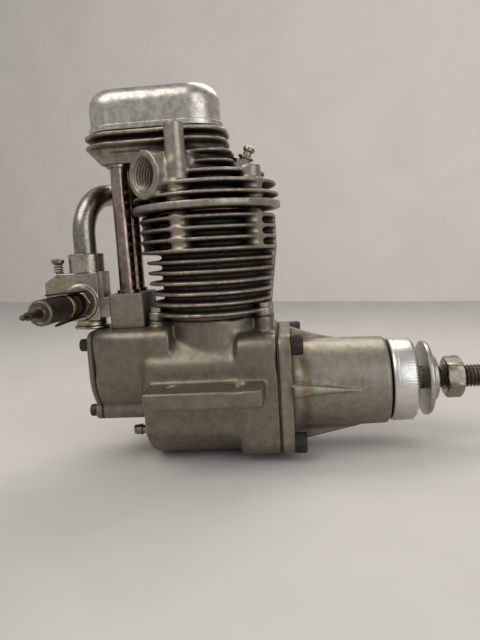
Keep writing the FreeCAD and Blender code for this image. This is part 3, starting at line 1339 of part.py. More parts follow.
def cam_drive():
    """Drive shaft picked up by the crankpin, its helical pinion, and the cross camshaft at half its speed."""
    armFront = d.barrelAxis - d.rodThickness / 2 - 0.7 - d.runningGap
    armRear = armFront - 3
    shaft = new_body("drive_shaft")
    bearing = Size(3.6)
    tail = camBoxBack + d.tailBoss - 0.2
    profile = [
        (camBoxBack + 0.3, 0),
        (camBoxBack + 0.3, d.tailRadius),
        (d.camCavityFront - 0.6, d.tailRadius),
        (d.camCavityFront - 0.6, bearing),
        (armFront, bearing),
        (armFront, 0),
    ]
    revolve(shaft, "spindle", draw(shaft, "spindle_section", "XZ_Plane", [profile]), "H_Axis")
    pin = Size(2.2)
    arm = [
        (-bearing - 1, 0, (0, 0), 1),
        (bearing + 1, 0),
        (pin + 1.8, d.crankThrow + 2.4),
        (pin, d.crankThrow + 2.4),
        (pin, d.crankThrow, (0, d.crankThrow), -1),
        (-pin, d.crankThrow),
        (-pin, d.crankThrow + 2.4),
        (-pin - 1.8, d.crankThrow + 2.4),
    ]
    pad(shaft, "arm", draw(shaft, "arm_outline", "YZ_Plane", [arm], lift=armRear), armFront - armRear)
    turned("drive_shaft_bush", "X", [
        (d.camCavityFront + 0.1, bearing + 0.03),
        (d.camCavityFront + 0.1, d.driveBushOuter),
        (d.chamberRear, d.driveBushOuter),
        (d.chamberRear, d.driveBushOuter + 1.2),
        (d.chamberRear + 0.9, d.driveBushOuter + 1.2),
        (d.chamberRear + 0.9, bearing + 0.03),
    ])
    teeth = int(float(d.gearTeeth))
    ratio = 2 * float(d.driveGearRadius) / float(d.camGearRadius)
    pinionHelix = math.atan(ratio)
    module = 2 * float(d.driveGearRadius) * math.cos(pinionHelix) / teeth
    pinionWidth, wheelWidth = 8.0, 4.4
    pinionTurn = math.tan(pinionHelix) * pinionWidth / float(d.driveGearRadius)
    wheelTurn = wheelWidth / (math.tan(pinionHelix) * float(d.camGearRadius))
    pinion = helical_gear(teeth, float(d.driveGearRadius), module, pinionWidth, pinionTurn, 0.0)
    pinion = pinion.cut(Part.makeCylinder(float(d.tailRadius), 2 * pinionWidth, Vector(0, 0, -pinionWidth)))
    # a pinion tooth points up into a gap of the wheel, which points down
    item = doc.addObject("Part::Feature", "drive_gear")
    item.Shape = pinion
    upright = Rotation(Vector(0, 1, 0), 90)
    item.Placement = Placement(Vector(float(d.camAxis), 0, 0), Rotation(Vector(1, 0, 0), 180).multiply(upright))
    keep(item, "drive_gear")
    wheel = helical_gear(2 * teeth, float(d.camGearRadius), module, wheelWidth, wheelTurn, 0.0)
    wheel = wheel.cut(Part.makeCylinder(float(d.camShaftRadius), 2 * wheelWidth, Vector(0, 0, -wheelWidth)))
    item = doc.addObject("Part::Feature", "cam_gear")
    item.Shape = wheel
    item.Placement = Placement(Vector(float(d.camAxis), 0, float(d.camHeight)), Rotation(Vector(1, 0, 0), 90))
    keep(item, "cam_gear")
    cam = new_body("camshaft", x=d.camAxis, z=d.camHeight)
    end = d.camCavityHalf + d.camBushLength - 0.3
    rod = [(-end, 0), (-end, d.camShaftRadius), (end, d.camShaftRadius), (end, 0)]
    revolve(cam, "rod", draw(cam, "rod_section", "YZ_Plane", [rod]), "H_Axis")
    nose = Size(1.3)
    reach = d.camBase + d.camLift - nose
    lean = (d.camBase - nose) / reach
    flank = root(1 - lean * lean)
    lobe = [
        (flank * d.camBase, lean * d.camBase),
        (flank * nose, reach + lean * nose, (0, reach), 1),
        (-flank * nose, reach + lean * nose),
        (-flank * d.camBase, lean * d.camBase, (0, 0), 1),
    ]
    for number, (side, angle) in enumerate(((1, 127), (-1, -127))):
        centre = side * d.tappetAside
        sk = draw(cam, f"lobe_outline{number}", "XZ_Plane", [lobe], lift=d.lobeWidth / 2 - centre, angle=angle)
        pad(cam, f"lobe{number}", sk, d.lobeWidth, True)
    bush = Part.makeCylinder(float(d.camBushOuter), float(d.camBushLength) - 0.1).cut(
        Part.makeCylinder(float(d.camShaftRadius) + 0.03, float(d.camBushLength)))
    copies("cam_bushes", bush, [
        at(d.camAxis, -side * d.camCavityHalf, d.camHeight, (1, 0, 0), side * 90) for side in (1, -1)])
    together("bushes", "drive_shaft_bush", "cam_bushes")


def path_wire(points, radii):
    """Straight runs joined by tangent arcs of the given radii, one for each inner point."""
    edges = []
    start = points[0]
    for index, radius in enumerate(radii, 1):
        before = (points[index] - points[index - 1]).normalize()
        after = (points[index + 1] - points[index]).normalize()
        turn = before.getAngle(after)
        tangent = radius * math.tan(turn / 2)
        first = points[index] - before * tangent
        last = points[index] + after * tangent
        bisector = (after - before).normalize()
        centre = points[index] + bisector * (radius / math.cos(turn / 2))
        middle = centre - bisector * radius
        edges.append(Part.LineSegment(start, first).toShape())
        edges.append(Part.Arc(first, middle, last).toShape())
        start = last
    edges.append(Part.LineSegment(start, points[-1]).toShape())
    return Part.Wire(edges)


def pipe(path, radius):
    start = path.Edges[0]
    direction = start.tangentAt(start.FirstParameter)
    section = Part.Wire(Part.makeCircle(float(radius), start.valueAt(start.FirstParameter), direction))
    return path.makePipeShell([section], True, False)


def intake_pipe():
    level = headBase + d.intakeHeight
    bottom = d.carbTop + 1
    mouth = d.barrelAxis - d.intakeReach
    points = [
        Vector(float(d.carbAxis), float(carbMiddle), float(bottom)),
        Vector(float(d.carbAxis), float(carbMiddle), float(level) - 2.5),
        Vector(float(d.carbAxis) + 8.6, float(d.intakeAside), float(level)),
        Vector(float(mouth) + 2, float(d.intakeAside), float(level)),
    ]
    path = path_wire(points, [15, 7.5])
    shape = pipe(path, d.pipeRadius).cut(pipe(path, d.pipeRadius - d.pipeWall))
    item = doc.addObject("Part::Feature", "manifold_pipe")
    item.Shape = shape
    keep(item, "manifold_pipe")
    turned("manifold_ring", "X", [
        (mouth - 3.4, d.pipeRadius),
        (mouth - 3.4, d.intakeStubRadius - 0.4),
        (mouth - 3, d.intakeStubRadius),
        (mouth, d.intakeStubRadius),
        (mouth, d.pipeRadius),
    ], y=d.intakeAside, z=level)
    turned("manifold_collar", "Z", [
        (d.carbTop, d.pipeRadius),
        (d.carbTop, d.collarRadius),
        (d.carbTop + d.collarHeight - 0.3, d.collarRadius),
        (d.carbTop + d.collarHeight, d.collarRadius - 0.3),
        (d.carbTop + d.collarHeight, d.pipeRadius),
    ], x=d.carbAxis, y=carbMiddle)
    together("intake_manifold", "manifold_pipe", "manifold_ring", "manifold_collar")




# Carburettor: a block with a rotary throttle barrel along Y and the needle assembly on its near side
def carburettor():
    body = new_body("carburettor_body")
    block = [
        (d.carbRear, d.carbBottom),
        (d.carbFront, d.carbBottom),
        (d.carbFront, d.carbTop),
        (d.carbRear + d.carbCut * 1.6, d.carbTop),
        (d.carbRear, d.carbTop - d.carbCut),
    ]
    depth = d.carbFar - d.carbNear
    pad(body, "block", draw(body, "carb_block_outline", "XZ_Plane", [block], lift=-d.carbNear), depth, True)
    pad(body, "end_ring", draw(body, "end_ring_circle", "XZ_Plane", lift=-d.carbNear, circles=[
        (d.barrelCentre, d.barrelLevel, d.throttleRadius + 1.1)]), 1.3)
    pad(body, "neck", draw(body, "carb_neck_circle", "XY_Plane", lift=d.airHornBottom + 1, circles=[
        (d.carbAxis, carbMiddle, d.collarRadius - 0.9)]), d.carbBottom - d.airHornBottom - 1)
    pad(body, "air_horn_ring", draw(body, "air_horn_circle", "XY_Plane", lift=d.airHornBottom, circles=[
        (d.carbAxis, carbMiddle, d.collarRadius)]), 1)
    pocket(body, "throttle_bore", draw(body, "throttle_bore_circle", "XZ_Plane", lift=-d.carbFar, circles=[
        (d.barrelCentre, d.barrelLevel, d.throttleRadius + 0.05)]), depth - 1.2, True)
    pocket(body, "passage", draw(body, "carb_passage_circle", "XY_Plane", lift=d.carbTop, circles=[
        (d.carbAxis, carbMiddle, d.passageRadius - 0.5)]), d.carbTop - d.airHornBottom)
    pocket(body, "pipe_seat", draw(body, "pipe_seat_circle", "XY_Plane", lift=d.carbTop, circles=[
        (d.carbAxis, carbMiddle, d.pipeRadius - d.pipeWall)]), 1)
    pocket(body, "needle_bore", draw(body, "needle_bore_circle", "XZ_Plane", lift=-d.carbNear + 1.3, circles=[
        (d.barrelCentre, d.barrelLevel, d.needleThread)]), 2.5)
    pocket(body, "idle_bore", draw(body, "idle_bore_circle", "XY_Plane", lift=d.carbTop, circles=[
        (d.idleAcross, carbMiddle - 2.5, d.idleRadius + 0.05)]), 4)
    barrel = new_body("throttle_barrel", x=d.barrelCentre, z=d.barrelLevel)
    near = d.carbNear + 1.35
    pad(barrel, "drum", draw(barrel, "throttle_circle", "XZ_Plane", lift=-near, circles=[
        (0, 0, d.throttleRadius)]), d.carbFar - near + 0.6, True)
    pad(barrel, "spigot", draw(barrel, "spigot_circle", "XZ_Plane", lift=-near, circles=[(0, 0, d.spigotRadius)]),
        d.carbFar - near + 3.4, True)
    pocket(barrel, "barrel_passage", draw(barrel, "barrel_passage_circle", "XY_Plane", lift=d.throttleRadius + 1,
                                          circles=[(d.carbAxis - d.barrelCentre, carbMiddle, d.passageRadius - 0.5)]),
           d.throttleRadius * 2 + 2)
    arm = new_body("throttle_lever", x=d.barrelCentre, z=d.barrelLevel)
    back = d.carbFar + 0.9
    tip = -d.armLength
    lever = [
        (0, -3.6, (0, 0), 1),
        (0, 3.6),
        (tip, 2.2, (tip, 0), 1),
        (tip, -2.2),
    ]
    pad(arm, "lever", draw(arm, "lever_outline", "XZ_Plane", [lever], lift=-back, circles=[
        (0, 0, d.spigotRadius), (tip, 0, 0.9), (tip + 4, 0, 0.9)]), 1.2, True)
    turned("lever_nut", "Y", [
        (back + 1.2, d.spigotRadius),
        (back + 1.2, d.spigotRadius + 1.5),
        (back + 2.6, d.spigotRadius + 1.5),
        (back + 2.6, d.spigotRadius),
    ], x=d.barrelCentre, z=d.barrelLevel)
    together("throttle_arm", "throttle_lever", "lever_nut")
    # needle holder with its hexagon, knurled needle knob, leaf ratchet and fuel nipple
    face = d.carbNear - 1.3
    holder = new_body("needle_holder", x=d.barrelCentre, z=d.barrelLevel)
    profile = [
        (face + 1.3, 0.8),
        (face + 1.3, d.needleThread),
        (face, d.needleThread),
        (face, d.needleThread + 1),
        (d.nippleAside + 2.4, d.needleThread + 1),
        (d.nippleAside + 2.4, d.needleRadius - 0.4),
        (d.nippleAside - 2.4, d.needleRadius - 0.4),
        (d.nippleAside - 2.4, d.needleThread + 0.6),
        (d.knobRear + 0.6, d.needleThread + 0.6),
        (d.knobRear + 0.6, 0.8),
    ]
    revolve(holder, "holder", draw(holder, "holder_section", "YZ_Plane", [profile]), "H_Axis")
    flats = [(v, u) for u, v in hexagon(Size(7))]
    pad(holder, "holder_hexagon", draw(holder, "holder_hexagon_outline", "XZ_Plane", [flats], lift=-face,
                                       circles=[(0, 0, 1.5)]), 2.2)
    pocket(holder, "nipple_bore", draw(holder, "nipple_bore_circle", "YZ_Plane", axis=(1, 0, 0),
                                       angle=-float(d.nippleTilt), circles=[
        (d.nippleAside, 0, d.nippleRadius)]), d.needleRadius + 1)
    turned("needle_valve", "Y", [
        (d.spindleNear, 0),
        (d.spindleNear, d.spindleTip - 0.4),
        (d.spindleNear + 0.4, d.spindleTip),
        (d.spindleNear + 1.6, d.spindleTip),
        (d.spindleNear + 2, d.spindleTip - 0.4),
        (d.spindleNear + 3.2, d.spindleTip - 0.4),
        (d.spindleNear + 3.4, d.spindleRoot - 0.1),
        (d.spindleNear + 4.6, d.spindleRoot - 0.1),
        (d.spindleNear + 4.8, d.spindleTip),
        (d.needleNear + d.knobDish, d.spindleRoot),
        (d.needleNear, d.needleRadius - 0.9),
        (d.needleNear, d.needleRadius - 0.5),
        (d.needleNear + 0.5, d.needleRadius),
        (d.knobRear - 1.6, d.needleRadius),
        (d.knobRear - 1.6, d.needleRadius - 0.5),
        (d.knobRear, d.needleRadius - 0.5),
        (d.knobRear, 0.7),
        (face - 1, 0.7),
        (face + 2, 0.1),
        (face + 2, 0),
    ], x=d.barrelCentre, z=d.barrelLevel)
    ratchet = new_body("needle_ratchet", x=d.barrelCentre, z=d.barrelLevel)
    seat = d.nippleAside - 2.5
    washer = [(seat, d.needleThread + 0.65), (seat, d.needleRadius + 0.2), (seat - 0.5, d.needleRadius + 0.2),
              (seat - 0.5, d.needleThread + 0.65)]
    revolve(ratchet, "washer", draw(ratchet, "washer_section", "YZ_Plane", [washer]), "H_Axis")
    leafLevel = d.needleRadius + 0.15
    for side in (1, -1):
        low, high = (leafLevel, leafLevel + 0.45) if side > 0 else (-leafLevel - 0.45, -leafLevel)
        leaf = [(seat, low), (seat, high), (seat - d.leafLength, high), (seat - d.leafLength, low)]
        pad(ratchet, f"leaf{side + 1}", draw(ratchet, f"leaf_outline{side + 1}", "YZ_Plane", [leaf], lift=-1.6), 3.2)
    turned("fuel_nipple", "X", [
        (0.9 - d.needleRadius, 0.8),
        (0.9 - d.needleRadius, d.nippleRadius),
        (-d.nippleLength + 5, d.nippleRadius),
        (-d.nippleLength + 4.4, d.nippleRadius + 0.5),
        (-d.nippleLength + 2.4, d.nippleRadius),
        (-d.nippleLength + 2, d.nippleRadius + 0.5),
        (-d.nippleLength, d.nippleRadius - 0.1),
        (-d.nippleLength, 0.8),
    ], x=d.barrelCentre, y=d.nippleAside, z=d.barrelLevel, axis=(0, 1, 0), angle=-float(d.nippleTilt))
    # idle stop screw and its spring
    headLow = d.carbTop + 3.2
    turned("idle_screw", "Z", [
        (d.carbTop - 3.5, 0),
        (d.carbTop - 3.5, d.idleRadius),
        (headLow, d.idleRadius),
        (headLow, d.idleRadius * 1.6),
        (headLow + 0.6, d.idleRadius * 2.2),
        (headLow + 1.5, d.idleRadius * 2.2),
        (headLow + 1.9, d.idleRadius * 1.7),
        (headLow + 1.9, 0),
    ], x=d.idleAcross, y=carbMiddle - 2.5)
    spring("idle_spring", d.idleAcross, carbMiddle - 2.5, d.carbTop, headLow, d.idleRadius + 0.45, 0.3, 3)
    # bracket between the carburettor and the tappet block
    bracket = new_body("carburettor_bracket")
    plate = [
        (d.carbFront, d.carbBottom + 1),
        (d.blockRear, d.carbBottom + 1),
        (d.blockRear, d.blockTop - 1),
        (d.carbFront + 1.5, d.blockTop - 1),
        (d.carbFront + 1.5, d.carbTop),
        (d.carbFront, d.carbTop),
    ]
    pad(bracket, "bracket", draw(bracket, "bracket_outline", "XZ_Plane", [plate], lift=-carbMiddle + 4), 8, True)


def plug_and_breather():
    base = headBase + d.plugHeight
    turned("glow_plug", "Z", [
        (-8, 0),
        (-8, d.plugThread - 0.3),
        (0, d.plugThread - 0.3),
        (0, d.plugSeat),
        (2.2, d.plugSeat),
        (2.4, 2.2),
        (3.2, 2.2),
        (3.4, 2.9),
        (4.2, 2.9),
        (4.4, 1.5),
        (6, 1.5),
        (6.2, 2),
        (7.4, 2),
        (7.8, 1.2),
        (7.8, 0),
    ], x=d.barrelAxis + d.plugForward, z=base, axis=(0, 1, 0), angle=float(d.plugTilt))
    turned("breather_nipple", "X", [
        (4, 0.7),
        (4, d.breatherRadius),
        (0, d.breatherRadius),
        (0, 2.2),
        (-1.2, 2.2),
        (-1.2, 1.5),
        (-4, 1.5),
        (-4.2, 2),
        (-7, 1.6),
        (-7, 0.7),
    ], x=d.caseRear, y=d.breatherAside, z=d.breatherHeight)


crankcase()
cam_cover()
front_housing()
ball_bearing("rear_bearing", d.rearBearingStart, d.rearBearingBore, d.rearBearingOuter, d.rearBearingWidth, 9)
ball_bearing("front_bearing", d.frontBearingStart, d.frontBearingBore, d.frontBearingOuter, d.frontBearingWidth, 7)
for member, group in (("outer_race", "outer_races"), ("inner_race", "inner_races"), ("balls", "balls")):
    together(f"bearing_{group}", f"rear_bearing_{member}", f"front_bearing_{member}")
crank_and_drive()
barrel()
piston_and_rod()
cylinder_head()
rocker_cover()
valve_gear()
cam_drive()
intake_pipe()
carburettor()
plug_and_breather()
doc.recompute()

for item in doc.Objects:
    if "Invalid" in item.State or "Error" in item.State:
        raise RuntimeError(f"{item.Label} did not build: {item.State}")
os.makedirs("parts", exist_ok=True)
for name, item in pieces.items():
    if item.Shape.isNull() or not item.Shape.isValid():
        raise RuntimeError(f"{name} has no sound shape")
for name, item in pieces.items():
    item.Shape.exportStep(f"parts/{name}.step")
    print(name, len(item.Shape.Solids), round(item.Shape.Volume, 2))
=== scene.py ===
import math

import bmesh
import bpy
import numpy as np
from mathutils import Matrix, Vector


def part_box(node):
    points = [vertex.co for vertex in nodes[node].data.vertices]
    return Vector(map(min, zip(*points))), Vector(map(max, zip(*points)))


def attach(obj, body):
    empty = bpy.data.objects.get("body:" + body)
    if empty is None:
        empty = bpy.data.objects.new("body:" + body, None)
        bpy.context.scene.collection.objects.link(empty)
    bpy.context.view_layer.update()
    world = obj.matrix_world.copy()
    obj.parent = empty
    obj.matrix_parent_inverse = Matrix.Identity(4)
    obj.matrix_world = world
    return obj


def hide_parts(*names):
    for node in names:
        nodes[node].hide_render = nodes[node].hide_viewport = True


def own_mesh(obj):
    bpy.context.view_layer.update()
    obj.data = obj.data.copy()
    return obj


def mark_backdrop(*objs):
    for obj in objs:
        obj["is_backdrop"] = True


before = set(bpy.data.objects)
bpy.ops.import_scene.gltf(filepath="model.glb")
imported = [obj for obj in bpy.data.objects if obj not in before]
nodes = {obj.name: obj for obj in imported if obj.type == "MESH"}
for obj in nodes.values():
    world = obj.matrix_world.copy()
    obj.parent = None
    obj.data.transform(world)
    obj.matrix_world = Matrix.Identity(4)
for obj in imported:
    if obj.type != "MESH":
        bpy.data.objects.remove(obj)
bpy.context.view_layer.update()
mm = 0.001
print("frame loaded:", len(nodes), "nodes")


# shader maths: a wrapped socket takes part in ordinary expressions and adds Math nodes as it goes
class Wire:
    def __init__(self, board, socket):
        self.board = board
        self.socket = socket

    def maths(self, operation, *others):
        values = [self.socket] + [other.socket if isinstance(other, Wire) else other for other in others]
        return self.board.add("ShaderNodeMath", {"operation": operation}, dict(enumerate(values)))

    def __add__(self, other): return self.maths("ADD", other)
    def __sub__(self, other): return self.maths("SUBTRACT", other)
    def __mul__(self, other): return self.maths("MULTIPLY", other)
    def __radd__(self, other): return self.maths("ADD", other)
    def __rmul__(self, other): return self.maths("MULTIPLY", other)
    def __truediv__(self, other): return self.maths("DIVIDE", other)
    def __neg__(self): return self.maths("MULTIPLY", -1)

    def __rsub__(self, other):
        return (-self) + other

    def clamp(self):
        return self.maths("MINIMUM", 1).maths("MAXIMUM", 0)

    def above(self, low, high):
        return ((self - low) / (high - low)).clamp()

    def smooth(self, low, high):
        t = self.above(low, high)
        return t * t * (3 - 2 * t)


# one material under construction; add() makes any node from its type, settings and socket values
class Board:
    def __init__(self, name):
        self.material = bpy.data.materials.new(name)
        self.material.use_nodes = True
        self.tree = self.material.node_tree
        self.shader = self.tree.nodes["Principled BSDF"]
        self.place = self.add("ShaderNodeTexCoord", {}, {}, "Object")

    def add(self, kind, settings=None, values=None, output=0):
        node = self.tree.nodes.new(kind)
        for key, value in (settings or {}).items():
            setattr(node, key, value)
        for key, value in (values or {}).items():
            socket = node.inputs[key]
            if isinstance(value, Wire):
                self.tree.links.new(value.socket, socket)
            elif isinstance(value, bpy.types.NodeSocket):
                self.tree.links.new(value, socket)
            elif isinstance(value, tuple) and socket.type == "RGBA":
                socket.default_value = (*value, 1)[:4]
            else:
                socket.default_value = value
        return Wire(self, node.outputs[output])

    def set(self, socket, value):
        if isinstance(value, Wire):
            self.tree.links.new(value.socket, self.shader.inputs[socket])
        else:
            self.shader.inputs[socket].default_value = (*value, 1) if isinstance(value, tuple) else value

    def noise(self, size, detail=4, rough=0.55, warp=0, at=None):
        return self.add("ShaderNodeTexNoise", {}, {
            "Vector": at or self.place, "Scale": 1 / (size * mm), "Detail": detail, "Roughness": rough,
            "Distortion": warp})

    def stretched(self, x, y, z):
        return self.add("ShaderNodeVectorMath", {"operation": "MULTIPLY"}, {0: self.place, 1: (x, y, z)})

    def axis(self, letter):
        return self.add("ShaderNodeSeparateXYZ", {}, {"Vector": self.place}, letter)

    def blend(self, mask, first, second):
        return self.add("ShaderNodeMix", {"data_type": "RGBA"}, {"Factor": mask, 6: first, 7: second}, 2)

    # ambient occlusion over a reach; the finishes darken hollows with it, which paints shade as well as grime
    def hollow(self, reach):
        return self.add("ShaderNodeAmbientOcclusion", {"samples": 6}, {"Distance": reach * mm}, "AO")

    def bump(self, height, strength, depth, under=None):
        values = {"Height": height, "Strength": strength, "Distance": depth * mm}
        if under:
            values["Normal"] = under
        return self.add("ShaderNodeBump", {}, values)

    def softEdge(self, radius):
        return self.add("ShaderNodeBevel", {"samples": 6}, {"Radius": radius * mm})

    def wornEdge(self, rounded):
        facing = self.add("ShaderNodeNewGeometry", {}, {}, "Normal")
        pair = {0: rounded, 1: facing}
        return 1 - self.add("ShaderNodeVectorMath", {"operation": "DOT_PRODUCT"}, pair, "Value")


# castings: the near-black hollow colour, with its reach and share, paints shade into crevices as well as grime
castLook = {
    "colour": (0.215, 0.188, 0.147), "shade": (0.165, 0.142, 0.108), "stain": (0.115, 0.075, 0.04),
    "stainShare": 0.6, "dirt": (0.022, 0.016, 0.011), "edge": (0.38, 0.355, 0.31), "rough": 0.43, "grain": 0.42,
    "pits": 0.35, "edgeRadius": 0.5, "dirtReach": 3.5, "dirtShare": 0.9, "metal": 0.85, "pitSize": 1.1,
    "seams": (), "seamReach": 3.5, "seamStain": (0.17, 0.115, 0.055)}


def castFinish(name, **changes):
    look = {**castLook, **changes}
    board = Board(name)
    rounded = board.softEdge(look["edgeRadius"])
    worn = board.wornEdge(rounded).smooth(0.03, 0.25)
    cloud = board.noise(16, 5, 0.6, 0.6)
    mottle = board.noise(2.6, 6, 0.65)
    grain = board.noise(0.35, 3, 0.7)
    speck = board.noise(look["pitSize"], 2, 0.5)
    open_ = board.hollow(look["dirtReach"])
    stain = (cloud + (1 - open_) * 0.35).smooth(0.55, 0.75) * mottle.smooth(0.3, 0.7) * look["stainShare"]
    pit = speck.smooth(0.68, 0.74) * look["pits"]
    # darker where ambient occlusion finds a hollow: partly real grime, partly painted shade in crevices, gaps and
    # under ledges
    dirt = (1 - open_).smooth(0.2, 0.9)
    colour = board.blend(mottle.smooth(0.35, 0.7), look["colour"], look["shade"])
    colour = board.blend(stain, colour, look["stain"])
    for seam in look["seams"]:
        near = 1 - (board.axis("X") / mm - seam).maths("ABSOLUTE") / look["seamReach"]
        soak = (near + (cloud - 0.5) * 1.6).smooth(0.25, 1.0) * mottle.smooth(0.25, 0.6)
        colour = board.blend(soak * 0.8, colour, look["seamStain"])
    # painted shade and grime: hollows go towards the near-black colour
    colour = board.blend(dirt * look["dirtShare"], colour, look["dirt"])
    colour = board.blend(worn * mottle.smooth(0.25, 0.55) * 0.7, colour, look["edge"])
    colour = board.blend(pit, colour, (0.04, 0.032, 0.026))
    board.set("Base Color", colour)
    board.set("Metallic", look["metal"] - stain * 0.3 - dirt * 0.4)
    rough = look["rough"] + (mottle - 0.5) * 0.16 + dirt * 0.25 + stain * 0.1 - worn * 0.1
    board.set("Roughness", rough.clamp())
    relief = grain * 0.6 + mottle * 0.7 - pit * 1.5
    board.set("Normal", board.bump(relief, look["grain"], 0.12, rounded))
    return board.material


def steelFinish(name, colour, rough, metal=1.0, tint=None, tintShare=0.0, spots=0.0, spotSize=0.8,
                edgeRadius=0.15, streak=None, dirt=0.5, relief=0.25, calm=0.62, bands=()):
    board = Board(name)
    rounded = board.softEdge(edgeRadius)
    mottle = board.noise(1.8, 5, 0.6)
    fine = board.noise(0.3, 2, 0.6, at=board.stretched(*streak) if streak else None)
    patch = board.noise(6, 4, 0.6, 0.4).smooth(0.42, 0.66)
    darker = tuple(c * calm for c in colour)
    shade = board.blend(mottle.smooth(0.35, 0.75), colour, darker)
    for letter, low, high, tone in bands:
        place = board.axis(letter) / mm
        inside = place.smooth(low - 0.1, low + 0.1) * (1 - place.smooth(high - 0.1, high + 0.1))
        shade = board.blend(inside * mottle.above(0, 0.45), shade, tone)
    if tint:
        shade = board.blend(patch * tintShare, shade, tint)
    # painted shade with some grime: hollows within 1.5 mm, found by ambient occlusion, go towards near-black
    shade = board.blend((1 - board.hollow(1.5)).smooth(0.3, 1.0) * dirt, shade, (0.035, 0.028, 0.022))
    if spots:
        shade = board.blend(board.noise(spotSize, 3).smooth(0.6, 0.66) * spots, shade, (0.05, 0.035, 0.025))
    board.set("Base Color", shade)
    board.set("Metallic", metal)
    board.set("Roughness", (rough + (mottle - 0.5) * 0.2 + (fine - 0.5) * 0.1).clamp())
    board.set("Normal", board.bump(fine + mottle * 0.5, relief, 0.04, rounded))
    return board.material


finishes = {
    "cast": castFinish("castCrankcase", seams=(28.4, 24.3, -20.5)),
    "housing": castFinish("castFrontHousing", colour=(0.27, 0.245, 0.20), shade=(0.21, 0.185, 0.145),
                          seams=(28.4, 33)),
    "block": castFinish("castTappetBlock", colour=(0.24, 0.215, 0.17), shade=(0.185, 0.16, 0.125), rough=0.58,
                        metal=0.6, stainShare=0.35),
    # the fins' gaps go almost black through the hollow blend: painted shade, with some grime
    "fins": castFinish("finnedBarrel", colour=(0.34, 0.30, 0.245), shade=(0.22, 0.18, 0.13), stainShare=0.8,
                       rough=0.36, dirt=(0.008, 0.006, 0.004), dirtReach=5, dirtShare=0.98, edgeRadius=0.3,
                       pits=0.2),
    "head": castFinish("finnedHead", colour=(0.34, 0.305, 0.25), shade=(0.22, 0.185, 0.14), stainShare=0.8,
                       rough=0.36, dirt=(0.008, 0.006, 0.004), dirtReach=5, dirtShare=0.98, edgeRadius=0.35,
                       pits=0.3),
    "dome": castFinish("polishedCover", colour=(0.56, 0.53, 0.48), shade=(0.33, 0.30, 0.26), rough=0.3, metal=1.0,
                       stainShare=0.5, edgeRadius=0.4, grain=0.6, pits=1.0, pitSize=0.62, dirtReach=1.5),
    "turned": steelFinish("turnedAluminium", (0.66, 0.64, 0.59), 0.33, streak=(6, 1, 1), relief=0.1, calm=0.86,
                          spots=0.15),
    "steel": steelFinish("machinedSteel", (0.42, 0.41, 0.40), 0.32, tint=(0.25, 0.2, 0.16), tintShare=0.4),
    "shaft": steelFinish("threadedShaft", (0.20, 0.18, 0.155), 0.3, tint=(0.09, 0.07, 0.05), tintShare=0.6),
    "nut": steelFinish("nutSteel", (0.30, 0.26, 0.205), 0.27, tint=(0.13, 0.10, 0.07), tintShare=0.6),
    "zinc": steelFinish("zincPlate", (0.46, 0.445, 0.41), 0.34, tint=(0.28, 0.25, 0.19), tintShare=0.5),
    "black": steelFinish("blackOxide", (0.035, 0.031, 0.028), 0.4, metal=0.75, tint=(0.10, 0.07, 0.05),
                         tintShare=0.6),
    "spring": steelFinish("springSteel", (0.16, 0.15, 0.14), 0.35),
    "leaf": steelFinish("blackenedLeaf", (0.05, 0.045, 0.042), 0.3, metal=0.9),
    "tube": steelFinish("tintedTube", (0.37, 0.285, 0.235), 0.2, tint=(0.17, 0.11, 0.085), tintShare=0.7,
                        spots=0.6, spotSize=0.6, streak=(3, 3, 0.3)),
    "manifold": steelFinish("darkChrome", (0.34, 0.315, 0.28), 0.27, tint=(0.17, 0.14, 0.11), tintShare=0.6,
                            spots=0.8, spotSize=0.6, bands=[("Z", 40, 50.1, (0.47, 0.425, 0.345))]),
    "plated": steelFinish("platedCarburettor", (0.46, 0.42, 0.35), 0.3, tint=(0.28, 0.20, 0.09), tintShare=0.65,
                          spots=0.4),
    "nickel": steelFinish("agedNickel", (0.30, 0.255, 0.195), 0.32, tint=(0.16, 0.11, 0.07), tintShare=0.6),
    "holder": steelFinish("bronzedHolder", (0.20, 0.145, 0.085), 0.3, tint=(0.09, 0.065, 0.045), tintShare=0.6,
                          bands=[("Y", -21.9, -17.2, (0.055, 0.044, 0.034)),
                                 ("Y", -13.5, -11.4, (0.34, 0.25, 0.13))]),
    "needle": steelFinish("darkenedBrass", (0.12, 0.098, 0.074), 0.36, tint=(0.06, 0.045, 0.035), tintShare=0.6,
                          bands=[("Y", -27.15, -25.3, (0.52, 0.37, 0.16)),
                                 ("Y", -45, -43.3, (0.21, 0.185, 0.15))]),
    "plug": steelFinish("platedPlug", (0.36, 0.325, 0.265), 0.3, tint=(0.22, 0.165, 0.10), tintShare=0.6),
    "gasket": steelFinish("gasketPaper", (0.07, 0.055, 0.04), 0.8, metal=0.0),
    "copper": steelFinish("softCopper", (0.45, 0.25, 0.16), 0.4),
    "bronze": steelFinish("bearingBronze", (0.4, 0.26, 0.12), 0.35),
}
